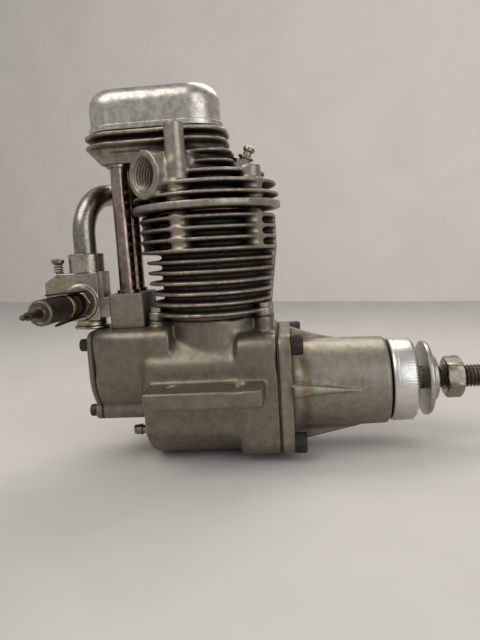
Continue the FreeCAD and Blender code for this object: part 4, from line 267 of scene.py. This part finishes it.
wears = {
    "cast": ["crankcase", "cam_cover"],
    "housing": ["front_housing"],
    "block": ["tappet_block"],
    "fins": ["cylinder_barrel"],
    "head": ["cylinder_head"],
    "dome": ["rocker_cover"],
    "turned": ["drive_hub", "piston", "connecting_rod"],
    "steel": ["barrel_screws", "cylinder_liner", "crankshaft", "rod_pins", "rocker_shaft", "camshaft",
              "drive_shaft", "drive_gear", "cam_gear", "bearing_outer_races", "bearing_inner_races",
              "bearing_balls", "piston_ring", "intake_tappet", "exhaust_tappet", "intake_pushrod",
              "exhaust_pushrod", "intake_rocker", "exhaust_rocker", "intake_valve", "exhaust_valve",
              "throttle_barrel", "idle_spring"],
    "nut": ["propeller_nut"],
    "zinc": ["propeller_washer", "throttle_arm", "carburettor_bracket"],
    "black": ["cam_cover_screws", "front_housing_screws", "head_bolts", "rocker_cover_screws"],
    "spring": ["intake_valve_spring", "exhaust_valve_spring", "needle_ratchet"],
    "tube": ["pushrod_tubes"],
    "manifold": ["intake_manifold"],
    "plated": ["carburettor_body"],
    "nickel": ["idle_screw", "breather_nipple", "fuel_nipple"],
    "holder": ["needle_holder"],
    "needle": ["needle_valve"],
    "plug": ["glow_plug"],
    "gasket": ["cam_cover_gasket", "front_gasket", "rocker_cover_gasket"],
    "copper": ["head_gasket"],
    "bronze": ["valve_inserts", "bushes"],
}
for finish, names in wears.items():
    for name in names:
        for slot in nodes[name].material_slots:
            slot.material = finishes[finish]
print("finishes:", len(finishes))

# a profile carried round an axis, as one grid: rows along the profile, columns round the axis
# each row is (along, radius, hexagon share, knurl depth, limit); the radius at an angle is drawn out towards a
# hexagon by its share, loses the knurl's cosine wave and is cut off at the limit
def turnedGrid(rows, count=96, teeth=0, turn=0.0):
    table = np.array([(*row, *(0, 0, 99)[len(row) - 2:]) for row in rows], float)
    along, radius, hexShare, knurl, limit = (column[:, None] for column in table.T)
    angle = np.arange(count) * 2 * math.pi / count
    flat = 1 / np.cos(np.mod(angle, math.pi / 3) - math.pi / 6)
    reach = radius * (1 + hexShare * (flat - 1)) - knurl * (0.5 + 0.5 * np.cos(teeth * angle))
    reach = np.minimum(reach, limit)
    around = angle + math.radians(turn)
    return np.stack([reach * np.cos(around), reach * np.sin(around), along + 0 * reach], -1)


# a screw thread on a grid: the radius falls from the crest by a triangle wave of along / pitch - angle / turn
def threadGrid(look):
    steps = int((look["end"] - look["start"]) / look["pitch"] * look["rowsPerTurn"])
    along = np.linspace(look["start"], look["end"], steps)[:, None]
    angle = (np.arange(look["count"]) * 2 * math.pi / look["count"])[None, :]
    phase = np.mod(along / look["pitch"] - angle / (2 * math.pi), 1)
    groove = np.clip(1.25 * (1 - np.abs(2 * phase - 1)) - 0.12, 0, 1)
    cutIn = np.clip((along - look["threadFrom"]) / look["pitch"], 0, 1)
    reach = look["crest"] - look["depth"] * groove * cutIn
    reach = np.minimum(reach, look["crest"] - look["depth"] * 1.1 + np.abs(look["end"] - along) * 1.1)
    return np.stack([reach * np.cos(angle), reach * np.sin(angle), along + 0 * reach], -1)


# three axes at right angles, the last along the direction
def basis(direction):
    third = np.array(direction, float) / np.linalg.norm(direction)
    first = np.array((1.0, 0.0, 0.0)) if abs(third[2]) > 0.9 else np.cross((0.0, 0.0, 1.0), third)
    first = first - third * first.dot(third)
    first /= np.linalg.norm(first)
    return np.array([first, np.cross(third, first), third])


# faces of a grid that closes round its columns, and either closes along its rows or ends in two fans
def gridShell(grid, looped):
    rows, columns = grid.shape[:2]
    index = np.arange(rows * columns).reshape(rows, columns)
    low = index if looped else index[:-1]
    high = np.roll(index, -1, 0) if looped else index[1:]
    quads = np.stack([low, np.roll(low, -1, 1), np.roll(high, -1, 1), high], -1).reshape(-1, 4)
    points = grid.reshape(-1, 3)
    faces = quads.tolist()
    if not looped:
        points = np.vstack([points, grid[0].mean(0), grid[-1].mean(0)])
        for ring, tip, flip in ((index[0], rows * columns, True), (index[-1], rows * columns + 1, False)):
            fan = np.stack([ring, np.roll(ring, -1), np.full(columns, tip)], -1)
            faces += (fan[:, ::-1] if flip else fan).tolist()
    return points, faces


def finishPiece(name, mesh, node, body, finish, sharpAngle=32):
    work = bmesh.new()
    work.from_mesh(mesh)
    bmesh.ops.recalc_face_normals(work, faces=work.faces)
    work.to_mesh(mesh)
    work.free()
    mesh.polygons.foreach_set("use_smooth", np.ones(len(mesh.polygons), bool))
    mesh.set_sharp_from_angle(angle=math.radians(sharpAngle))
    mesh.materials.clear()
    mesh.materials.append(finishes[finish])
    piece = bpy.data.objects.new(name, mesh)
    bpy.context.scene.collection.objects.link(piece)
    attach(piece, body)
    if node:
        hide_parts(node)
    return piece


# the same shells set at several places, as one piece
def shellPiece(name, shells, node, body, finish, direction=(0, 0, 1), spots=((0, 0, 0),), sharpAngle=32):
    axes = basis(direction)
    points, faces, count = [], [], 0
    for spot in spots:
        for shell, shellFaces in shells:
            points.append((shell @ axes + np.array(spot, float)) * mm)
            faces += [[corner + count for corner in face] for face in shellFaces]
            count += len(shell)
    mesh = bpy.data.meshes.new(name)
    mesh.from_pydata(np.vstack(points).tolist(), [], faces)
    return finishPiece(name, mesh, node, body, finish, sharpAngle)


def turnedPiece(name, look, node, body, finish, direction, spots=((0, 0, 0),), looped=False):
    grid = turnedGrid(look["rows"], look.get("count", 96), look.get("teeth", 0), look.get("turn", 0))
    return shellPiece(name, [gridShell(grid, looped)], node, body, finish, direction, spots)


# a socket cap screw: shank, knurled head with a soft rim, hexagonal socket
def capScrewRows(radius, head, length):
    height = 2 * radius
    socket = radius * 0.82
    return [
        (-length, radius * 0.75), (radius * 0.3 - length, radius), (0, radius), (0, head - 0.2),
        (0.1, head - 0.05), (height * 0.12, head), (height * 0.15, head, 0, head * 0.045),
        (height * 0.8, head, 0, head * 0.045), (height * 0.83, head), (height * 0.92, head - height * 0.03),
        (height * 0.985, head - height * 0.09), (height, head - height * 0.15), (height, socket * 1.3),
        (height - 0.1, socket * 1.2), (height - 0.35, socket, 1), (height * 0.45, socket, 1),
        (height * 0.45, socket * 0.5)]


frontScrews = {"radius": 2, "head": 3.5, "length": 14, "teeth": 32, "aside": 16.7, "seat": 28.4}
rows = capScrewRows(frontScrews["radius"], frontScrews["head"], frontScrews["length"])
aside = frontScrews["aside"]
turnedPiece("knurled_front_screws", {"rows": rows, "count": 192, "teeth": frontScrews["teeth"]},
            "front_housing_screws", "engine", "black", (1, 0, 0),
            [(frontScrews["seat"], y * aside, z * aside) for y in (1, -1) for z in (1, -1)])

camScrews = {"radius": 1.25, "head": 2.15, "length": 7, "teeth": 24, "high": (14.4, 19.4), "low": (10.2, -4.8)}
rows = capScrewRows(camScrews["radius"], camScrews["head"], camScrews["length"])
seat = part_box("cam_cover_screws")[0][0] / mm + 2 * camScrews["radius"]
turnedPiece("knurled_cam_screws", {"rows": rows, "count": 144, "teeth": camScrews["teeth"]},
            "cam_cover_screws", "engine", "black", (-1, 0, 0),
            [(seat, side * y, z) for side in (1, -1) for y, z in (camScrews["high"], camScrews["low"])])

nut = {"rear": 81.8, "length": 5.95, "bore": 4.05, "half": 6.5, "corner": 7.35, "turn": 15.4}
size, half, corner = nut["length"], nut["half"], nut["corner"]
nutRows = [
    (0.45, nut["bore"]), (0, nut["bore"] + 0.5), (0, half - 0.35, 1, 0, half - 0.35),
    (0.3, half, 1, 0, half + 0.3), (0.75, half, 1, 0, corner), (size - 0.75, half, 1, 0, corner),
    (size - 0.3, half, 1, 0, half + 0.3), (size, half - 0.35, 1, 0, half - 0.35),
    (size, nut["bore"] + 0.5), (size - 0.45, nut["bore"])]
turnedPiece("bevelled_nut", {"rows": nutRows, "count": 180, "turn": nut["turn"]}, "propeller_nut", "crank",
            "nut", (1, 0, 0), [(nut["rear"], 0, 0)], looped=True)

hub = {"rear": 62, "teeth": 84, "count": 504, "rows": [
    (0, 4.05), (0, 13.9), (0.3, 14.4), (0.8, 14.66), (1.9, 14.66), (2.0, 14.58), (2.15, 14.58), (2.25, 14.66),
    (7.3, 14.66), (7.55, 14.6, 0, 0.12), (8.15, 14.1, 0, 0.5), (8.75, 13.45, 0, 0.5), (8.8, 12.9), (8.8, 4.05)]}
turnedPiece("serrated_hub", hub, "drive_hub", "crank", "turned", (1, 0, 0),
            [(hub["rear"], 0, 0)], looped=True)

washer = {"rear": 74.2, "count": 160, "rows": [
    (0, 4.1), (0, 12.8), (0.15, 13.03), (0.3, 13.07), (1.1, 13.07), (1.5, 12.95), (1.85, 12.6), (2, 12.1),
    (2.05, 9.2), (2.15, 8.7), (2.4, 8.3), (2.8, 8.05), (3.9, 8), (4.25, 7.85), (4.5, 7.5), (4.6, 7), (4.6, 4.1)]}
turnedPiece("bevelled_washer", washer, "propeller_washer", "crank", "zinc", (1, 0, 0),
            [(washer["rear"], 0, 0)], looped=True)

# the crankshaft keeps its solid up to the drive hub, and its threaded end is drawn here
thread = {"start": 72.3, "end": 101.95, "threadFrom": 78.2, "pitch": 1.25, "rowsPerTurn": 11, "count": 48,
          "crest": 3.95, "depth": 0.68}
work = bmesh.new()
work.from_mesh(nodes["crankshaft"].data)
bmesh.ops.remove_doubles(work, verts=work.verts, dist=0.001 * mm)
cut = bmesh.ops.bisect_plane(work, geom=work.verts[:] + work.edges[:] + work.faces[:], clear_outer=True,
                             plane_co=(thread["start"] * mm, 0, 0), plane_no=(1, 0, 0))
bmesh.ops.edgeloop_fill(work, edges=[item for item in cut["geom_cut"] if isinstance(item, bmesh.types.BMEdge)])
rear = bpy.data.meshes.new("crankshaft_rear")
work.to_mesh(rear)
work.free()
rearPoints = np.empty(len(rear.vertices) * 3)
rear.vertices.foreach_get("co", rearPoints)
rearFaces = [list(face.vertices) for face in rear.polygons]
rearShell = (rearPoints.reshape(-1, 3) @ basis((1, 0, 0)).T / mm, rearFaces)
shellPiece("threaded_crankshaft", [rearShell, gridShell(threadGrid(thread), False)], "crankshaft", "crank",
           "shaft", (1, 0, 0))
print("screws, nut, hub, washer and threaded shaft made")

# needle: knurled knob with a dished end and a stepped spindle, on the axis of the throttle barrel
needleAxis = {"x": -43.4, "z": 33.8}
needleSpot = [(needleAxis["x"], 0, needleAxis["z"])]
needle = {"teeth": 40, "count": 280, "rows": [
    (9.6, 0.15), (12.5, 0.7), (25.4, 0.7), (25.4, 3.5), (25.55, 3.8), (26.8, 3.8), (27, 3.5),
    (27.3, 3.5), (27.6, 3.85), (28.6, 3.9, 0, 0.3), (42.9, 3.9, 0, 0.3), (43.1, 3.88), (43.6, 3.7), (43.95, 3.35),
    (44, 3.1), (43.85, 2.8), (43.6, 2.1), (43.55, 1.6), (43.8, 1.4), (46, 1.25), (49.9, 0.95), (50.1, 0.86),
    (50.2, 1.15), (50.35, 1.22), (51.3, 1.22), (51.5, 1.1), (51.6, 0.55), (52.7, 0.5), (53, 0.68), (53.3, 0.82),
    (53.8, 0.88), (54.3, 0.8), (54.7, 0.6), (54.95, 0.25)]}
turnedPiece("knurled_needle", needle, "needle_valve", "needle", "needle", (0, -1, 0), needleSpot)

holder = {"teeth": 36, "count": 216, "rows": [
    (10.3, 0.9), (10.3, 1.9), (11.5, 1.9), (11.5, 3.2, 1, 0, 3.6), (11.8, 3.5, 1, 0, 4), (13.1, 3.5, 1, 0, 4),
    (13.4, 3.2, 1, 0, 3.6), (13.5, 2.5), (14, 2.5), (14.1, 3.1, 1, 0, 3.5), (14.4, 3.3, 1, 0, 3.8),
    (16.2, 3.3, 1, 0, 3.8), (16.5, 3.1, 1, 0, 3.5), (16.6, 2.8), (17.1, 2.8), (17.2, 3.4), (17.5, 3.5, 0, 0.25),
    (21.6, 3.5, 0, 0.25), (21.8, 3.4), (21.9, 2.7), (24.6, 2.6), (24.7, 0.9)]}
turnedPiece("knurled_holder", holder, "needle_holder", "engine", "holder", (0, -1, 0), needleSpot,
            looped=True)

# leaf springs: a strip on a grid, its width falling to the tip and its height bending out with the square of
# the way along, and the ring that carries both
leaves = {"root": 14.6, "thickness": 0.4, "width": 5.2, "tip": 0.7, "rows": 24, "columns": 9,
          "reach": (38.5, 33.5), "height": (4.15, -4.15), "splay": (0.5, -0.75), "ring": (16.75, 17.1, 2.9, 4.2)}


def leafShell(reach, height, splay):
    way = np.linspace(0, 1, leaves["rows"])[:, None]
    over = np.linspace(-1, 1, leaves["columns"])[None, :]
    half = (leaves["width"] * (1 - way) ** 0.8 + leaves["tip"]) / 2
    along = leaves["root"] + way * (reach - leaves["root"])
    level = height + splay * way ** 2 + 0 * over
    low = np.stack([over * half, level, along + 0 * over], -1)
    high = low + np.array((0, leaves["thickness"] * math.copysign(1, height), 0))
    rim = np.concatenate([low, high[:, ::-1]], 1)
    return gridShell(rim, False)


ring = leaves["ring"]
ringRows = [(ring[0], ring[2]), (ring[0], ring[3]), (ring[1], ring[3]), (ring[1], ring[2])]
leafShells = [leafShell(*values) for values in zip(leaves["reach"], leaves["height"], leaves["splay"])]
leafShells.append(gridShell(turnedGrid(ringRows, 60), True))
shellPiece("leaf_springs", leafShells, "needle_ratchet", "engine", "leaf", (0, -1, 0), needleSpot)

plug = {"base": (14.4, 0, 77), "lean": 25, "count": 144, "rows": [
    (-7.9, 2.3), (-7.6, 2.8), (0, 2.8), (0, 4.2, 1, 0, 4.4), (0.3, 4, 1, 0, 4.58), (1.8, 4, 1, 0, 4.58),
    (2.2, 3.8, 1, 0, 4.2), (2.4, 2.4), (2.6, 2.1), (3.1, 2.1), (3.3, 2.6), (3.55, 2.85), (3.9, 2.85), (4.15, 2.6),
    (4.3, 1.9), (4.5, 1.5), (5.7, 1.4), (5.9, 1.8), (6.2, 2.05), (6.9, 2.1), (7.3, 1.9), (7.6, 1.5), (7.75, 0.8)]}
lean = math.radians(plug["lean"])
turnedPiece("stepped_plug", plug, "glow_plug", "engine", "plug",
            (math.sin(lean), 0, math.cos(lean)), [plug["base"]])

exhaust = {"root": (1.2, 0, 74.2), "angle": 229.1, "reach": 26.4, "start": -7.6, "end": -0.6, "pitch": 1.1,
           "rowsPerTurn": 10, "count": 60, "outer": 5.55, "depth": 0.5}
outward = np.array((math.cos(math.radians(exhaust["angle"])), math.sin(math.radians(exhaust["angle"])), 0))


# the port's thread on a closed grid: an outer wall and an inner one that rises and falls with the turns
def portThread(look):
    steps = int((look["end"] - look["start"]) / look["pitch"] * look["rowsPerTurn"])
    along = np.linspace(look["start"], look["end"], steps)[:, None]
    angle = (np.arange(look["count"]) * 2 * math.pi / look["count"])[None, :]
    phase = np.mod(along / look["pitch"] - angle / (2 * math.pi), 1)
    inner = look["outer"] - 0.1 - look["depth"] * (1 - np.abs(2 * phase - 1))
    along = along + 0 * angle
    ends = look["outer"] + 0 * inner
    reach, height = np.concatenate([inner, ends[::-1]]), np.concatenate([along, along[::-1]])
    return np.stack([reach * np.cos(angle), reach * np.sin(angle), height], -1)


shellPiece("port_thread", [gridShell(portThread(exhaust), True)], None, "engine", "head",
           outward, [np.array(exhaust["root"]) + exhaust["reach"] * outward])
print("needle, holder, leaf springs, plug and port thread made")

# each valve spring is copied into a piece of its own on the engine
for side in ("intake", "exhaust"):
    node = side + "_valve_spring"
    coil = finishPiece(side + "_coil", nodes[node].data.copy(), node, "engine", "spring")
    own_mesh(coil)


# a casting: a voxel skin of the node's solid, relaxed towards the mean of its neighbours, most near the zones,
# so that its corners run soft as they do out of a mould; a plain grid surface can't give this
def softCasting(name, node, body, finish, look):
    work = bmesh.new()
    work.from_mesh(nodes[node].data)
    bmesh.ops.remove_doubles(work, verts=work.verts, dist=0.001 * mm)
    solid = bpy.data.meshes.new(name + "_solid")
    work.to_mesh(solid)
    work.free()
    rough = bpy.data.objects.new(name + "_solid", solid)
    bpy.context.scene.collection.objects.link(rough)
    skin = rough.modifiers.new("skin", "REMESH")
    skin.mode = "VOXEL"
    skin.voxel_size = look["voxel"] * mm
    mesh = bpy.data.meshes.new_from_object(rough.evaluated_get(bpy.context.evaluated_depsgraph_get()))
    bpy.data.objects.remove(rough)
    count = len(mesh.vertices)
    points = np.empty(count * 3)
    mesh.vertices.foreach_get("co", points)
    points = points.reshape(-1, 3) / mm
    if "shape" in look:
        points = look["shape"](points)
    edges = np.empty(len(mesh.edges) * 2, int)
    mesh.edges.foreach_get("vertices", edges)
    first, second = edges.reshape(-1, 2).T
    degree = np.maximum(np.bincount(edges, minlength=count), 1)[:, None]
    zone = look["zone"](*points.T)[:, None] if "zone" in look else np.zeros((count, 1))
    for step in range(look["passes"] + (look["zonePasses"] if "zone" in look else 0)):
        pull = 0.5 if step < look["passes"] else 0.5 * zone
        total = np.stack([
            np.bincount(first, points[second, axis], count) + np.bincount(second, points[first, axis], count)
            for axis in range(3)], -1)
        points = points + pull * (total / degree - points)
    mesh.vertices.foreach_set("co", (points * mm).ravel())
    mesh.name = name
    print(name, "faces:", len(mesh.polygons))
    return finishPiece(name, mesh, node, body, finish, 60)


def hill(distance, width):
    return np.exp(-(distance / width) ** 2 / 2)


crankShape = {"drum": 23.2, "flat": 20, "flatTop": 11.76, "neck": 17, "barrelAxis": 1.2, "frontRear": 10}


# the foot of the neck, the upper edge of each flat and the back of the square front are the softest
def crankcaseZone(x, y, z):
    drum = np.hypot(y, z) - crankShape["drum"]
    neck = np.hypot(x - crankShape["barrelAxis"], y) - crankShape["neck"]
    foot = hill(np.hypot(drum, neck), 2.2) * (z > 5)
    shoulder = hill(np.hypot(np.abs(y) - crankShape["flat"], z - crankShape["flatTop"]), 2.4)
    back = hill(x - crankShape["frontRear"], 1.6) * (np.hypot(y, z) > crankShape["flat"] - 1)
    return np.clip(foot + shoulder + back, 0, 1) * (np.hypot(y, z) > 19.5)


nose = {"ribStart": 30, "ribEnd": 51, "radius": 16.1, "radiusAt": 31, "slope": 0.024, "ribReach": 4.2,
        "narrowing": 0.85, "lowering": 0.93}


# the four ribs of the front housing narrow and sink towards their front ends, in step with the way along
def taperRibs(points):
    way = np.clip((points[:, 0] - nose["ribStart"]) / (nose["ribEnd"] - nose["ribStart"]), 0, 1)
    radius = nose["radius"] - nose["slope"] * (points[:, 0] - nose["radiusAt"])
    for across, out in ((2, 1), (1, 2)):
        side = points[:, across]
        base = np.sqrt(np.maximum(radius ** 2 - side ** 2, 0))
        proud = np.abs(points[:, out]) - base
        rib = (np.abs(side) < nose["ribReach"]) & (proud > 0.15) & (points[:, 0] > nose["ribStart"])
        lowered = base + proud * (1 - nose["lowering"] * way)
        points[:, out] = np.where(rib, np.copysign(lowered, points[:, out]), points[:, out])
        points[:, across] = np.where(rib, side * (1 - nose["narrowing"] * way), side)
    return points


column = {"spots": ((-5.14, 19.5), (-5.14, -19.5)), "from": 77, "full": 79.5, "hole": 3.0, "wall": 4.4,
          "slim": 3.4, "reach": 7.5}


# the two tall bolt columns of the head are slimmer than their solids: distances from the column's axis are
# drawn in, from nothing at the hole and at the reach to the most at the wall
def slimColumns(points):
    share = np.clip((points[:, 2] - column["from"]) / (column["full"] - column["from"]), 0, 1)
    for spot in column["spots"]:
        away = points[:, :2] - np.array(spot)
        distance = np.maximum(np.hypot(*away.T), 1e-6)
        drawn = np.interp(distance, (0, column["hole"], column["wall"], column["reach"]),
                          (0, column["hole"], column["slim"], column["reach"]))
        drawn = np.where(distance < column["reach"], drawn, distance)
        factor = 1 + share * (drawn / distance - 1)
        points[:, :2] = np.array(spot) + away * factor[:, None]
    return points


# the front housing is softest behind its flange and along its ribs
def housingZone(x, y, z):
    out = np.hypot(y, z)
    return hill(x - 29, 1.5) * (out < 20) + 0.6 * (x > 31) * (out > 15.9)


castings = {
    "soft_crankcase": ("crankcase", "cast_aluminium", "cast",
                       {"voxel": 0.52, "passes": 3, "zone": crankcaseZone, "zonePasses": 26}),
    "soft_housing": ("front_housing", "cast_aluminium", "housing", {
        "voxel": 0.45, "passes": 3, "zonePasses": 14, "shape": taperRibs, "zone": housingZone}),
    "soft_cam_cover": ("cam_cover", "cam_cover", "cast", {"voxel": 0.3, "passes": 3}),
    "soft_block": ("tappet_block", "cast_aluminium", "block", {"voxel": 0.3, "passes": 3}),
    "soft_barrel": ("cylinder_barrel", "finned_aluminium", "fins", {"voxel": 0.58, "passes": 2}),
    "soft_head": ("cylinder_head", "finned_aluminium", "head",
                  {"voxel": 0.5, "passes": 2, "shape": slimColumns}),
    "soft_carburettor": ("carburettor_body", "plated_metal", "plated", {"voxel": 0.25, "passes": 4}),
}
for name, (node, slot, finish, look) in castings.items():
    softCasting(name, node, "engine", finish, look)

# floor, and a far wall whose foot runs level through the picture
stage = {"floorLevel": -23.25, "wallFoot": ((-555, 871.4), (247.7, 449.4)), "wallHeight": 1500, "reach": 2500,
         "floorColour": (0.585, 0.56, 0.53), "wallColour": (0.84, 0.785, 0.71)}


def paper(name, colour, size):
    board = Board(name)
    crease = board.noise(size, 5, 0.6, 0.5)
    tone = board.blend(crease.smooth(0.3, 0.7), colour, tuple(c * 0.94 for c in colour))
    board.set("Base Color", tone)
    board.set("Roughness", 0.8)
    board.set("Normal", board.bump(crease, 0.15, 4))
    return board.material


def flatPiece(name, corners, material):
    mesh = bpy.data.meshes.new(name)
    points = [tuple(c * mm for c in corner) for corner in corners]
    mesh.from_pydata(points, [], [tuple(range(len(corners)))])
    mesh.materials.append(material)
    piece = bpy.data.objects.new(name, mesh)
    bpy.context.scene.collection.objects.link(piece)
    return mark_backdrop(piece)


foot = [np.array(point) for point in stage["wallFoot"]]
along = (foot[1] - foot[0]) / np.linalg.norm(foot[1] - foot[0])
left, right = foot[0] - along * stage["reach"], foot[1] + along * stage["reach"]
level = stage["floorLevel"]
near = np.array((-along[1], along[0])) * -2 * stage["reach"]
near = near if near[1] < 0 else -near
flatPiece("floor", [(*(left + near), level), (*(right + near), level), (*right, level), (*left, level)],
          paper("floorPaper", stage["floorColour"], 60))
top = stage["wallHeight"]
flatPiece("wall", [(*left, level), (*right, level), (*right, top), (*left, top)],
          paper("wallPaper", stage["wallColour"], 90))

lamps = {
    "keyLamp": {"at": (-260, -250, 520), "to": (0, 0, 40), "size": 480,
                "power": 1.7, "colour": (1.0, 0.95, 0.88)},
    "fillLamp": {"at": (420, -420, 240), "to": (10, 0, 30), "size": 560,
                 "power": 1.2, "colour": (0.92, 0.96, 1.0)},
    "rimLamp": {"at": (90, 190, 330), "to": (0, -60, 60), "size": 240,
                "power": 0.55, "colour": (1.0, 0.97, 0.93)},
}
for name, lamp in lamps.items():
    light = bpy.data.lights.new(name, "AREA")
    light.shape = "DISK"
    light.size = lamp["size"] * mm
    light.energy = lamp["power"]
    light.color = lamp["colour"]
    item = bpy.data.objects.new(name, light)
    item.location = Vector(lamp["at"]) * mm
    item.rotation_euler = (Vector(lamp["to"]) - Vector(lamp["at"])).to_track_quat("-Z", "Y").to_euler()
    bpy.context.scene.collection.objects.link(item)

world = bpy.data.worlds.new("studio")
world.use_nodes = True
world.node_tree.nodes["Background"].inputs["Color"].default_value = (0.86, 0.87, 0.9, 1)
world.node_tree.nodes["Background"].inputs["Strength"].default_value = 0.56
bpy.context.scene.world = world
bpy.context.scene.view_settings.view_transform = "Standard"

# the camera stands where the photograph was taken from
view = {"at": (27.952, -195.286, 47.854), "yaw": 0.08866, "pitch": 0.12240, "roll": -0.05906, "lens": 30.752}
cosYaw, sinYaw = math.cos(view["yaw"]), math.sin(view["yaw"])
cosPitch, sinPitch = math.cos(view["pitch"]), math.sin(view["pitch"])
ahead = Vector((-sinYaw * cosPitch, cosYaw * cosPitch, -sinPitch))
across = Vector((cosYaw, sinYaw, 0))
upward = Vector((-sinYaw * sinPitch, cosYaw * sinPitch, cosPitch))
cosRoll, sinRoll = math.cos(view["roll"]), math.sin(view["roll"])
turnedAcross = across * cosRoll + upward * sinRoll
turnedUp = upward * cosRoll - across * sinRoll
camera = bpy.data.cameras.new("camera")
camera.lens = view["lens"]
camera.sensor_fit = "AUTO"
camera.sensor_width = 36
camera.clip_start = 0.005
eye = bpy.data.objects.new("camera", camera)
eye.matrix_world = Matrix.Translation(Vector(view["at"]) * mm) @ Matrix(
    (turnedAcross, turnedUp, -ahead)).transposed().to_4x4()
bpy.context.scene.collection.objects.link(eye)
bpy.context.scene.camera = eye
print("stage, lamps and camera set")
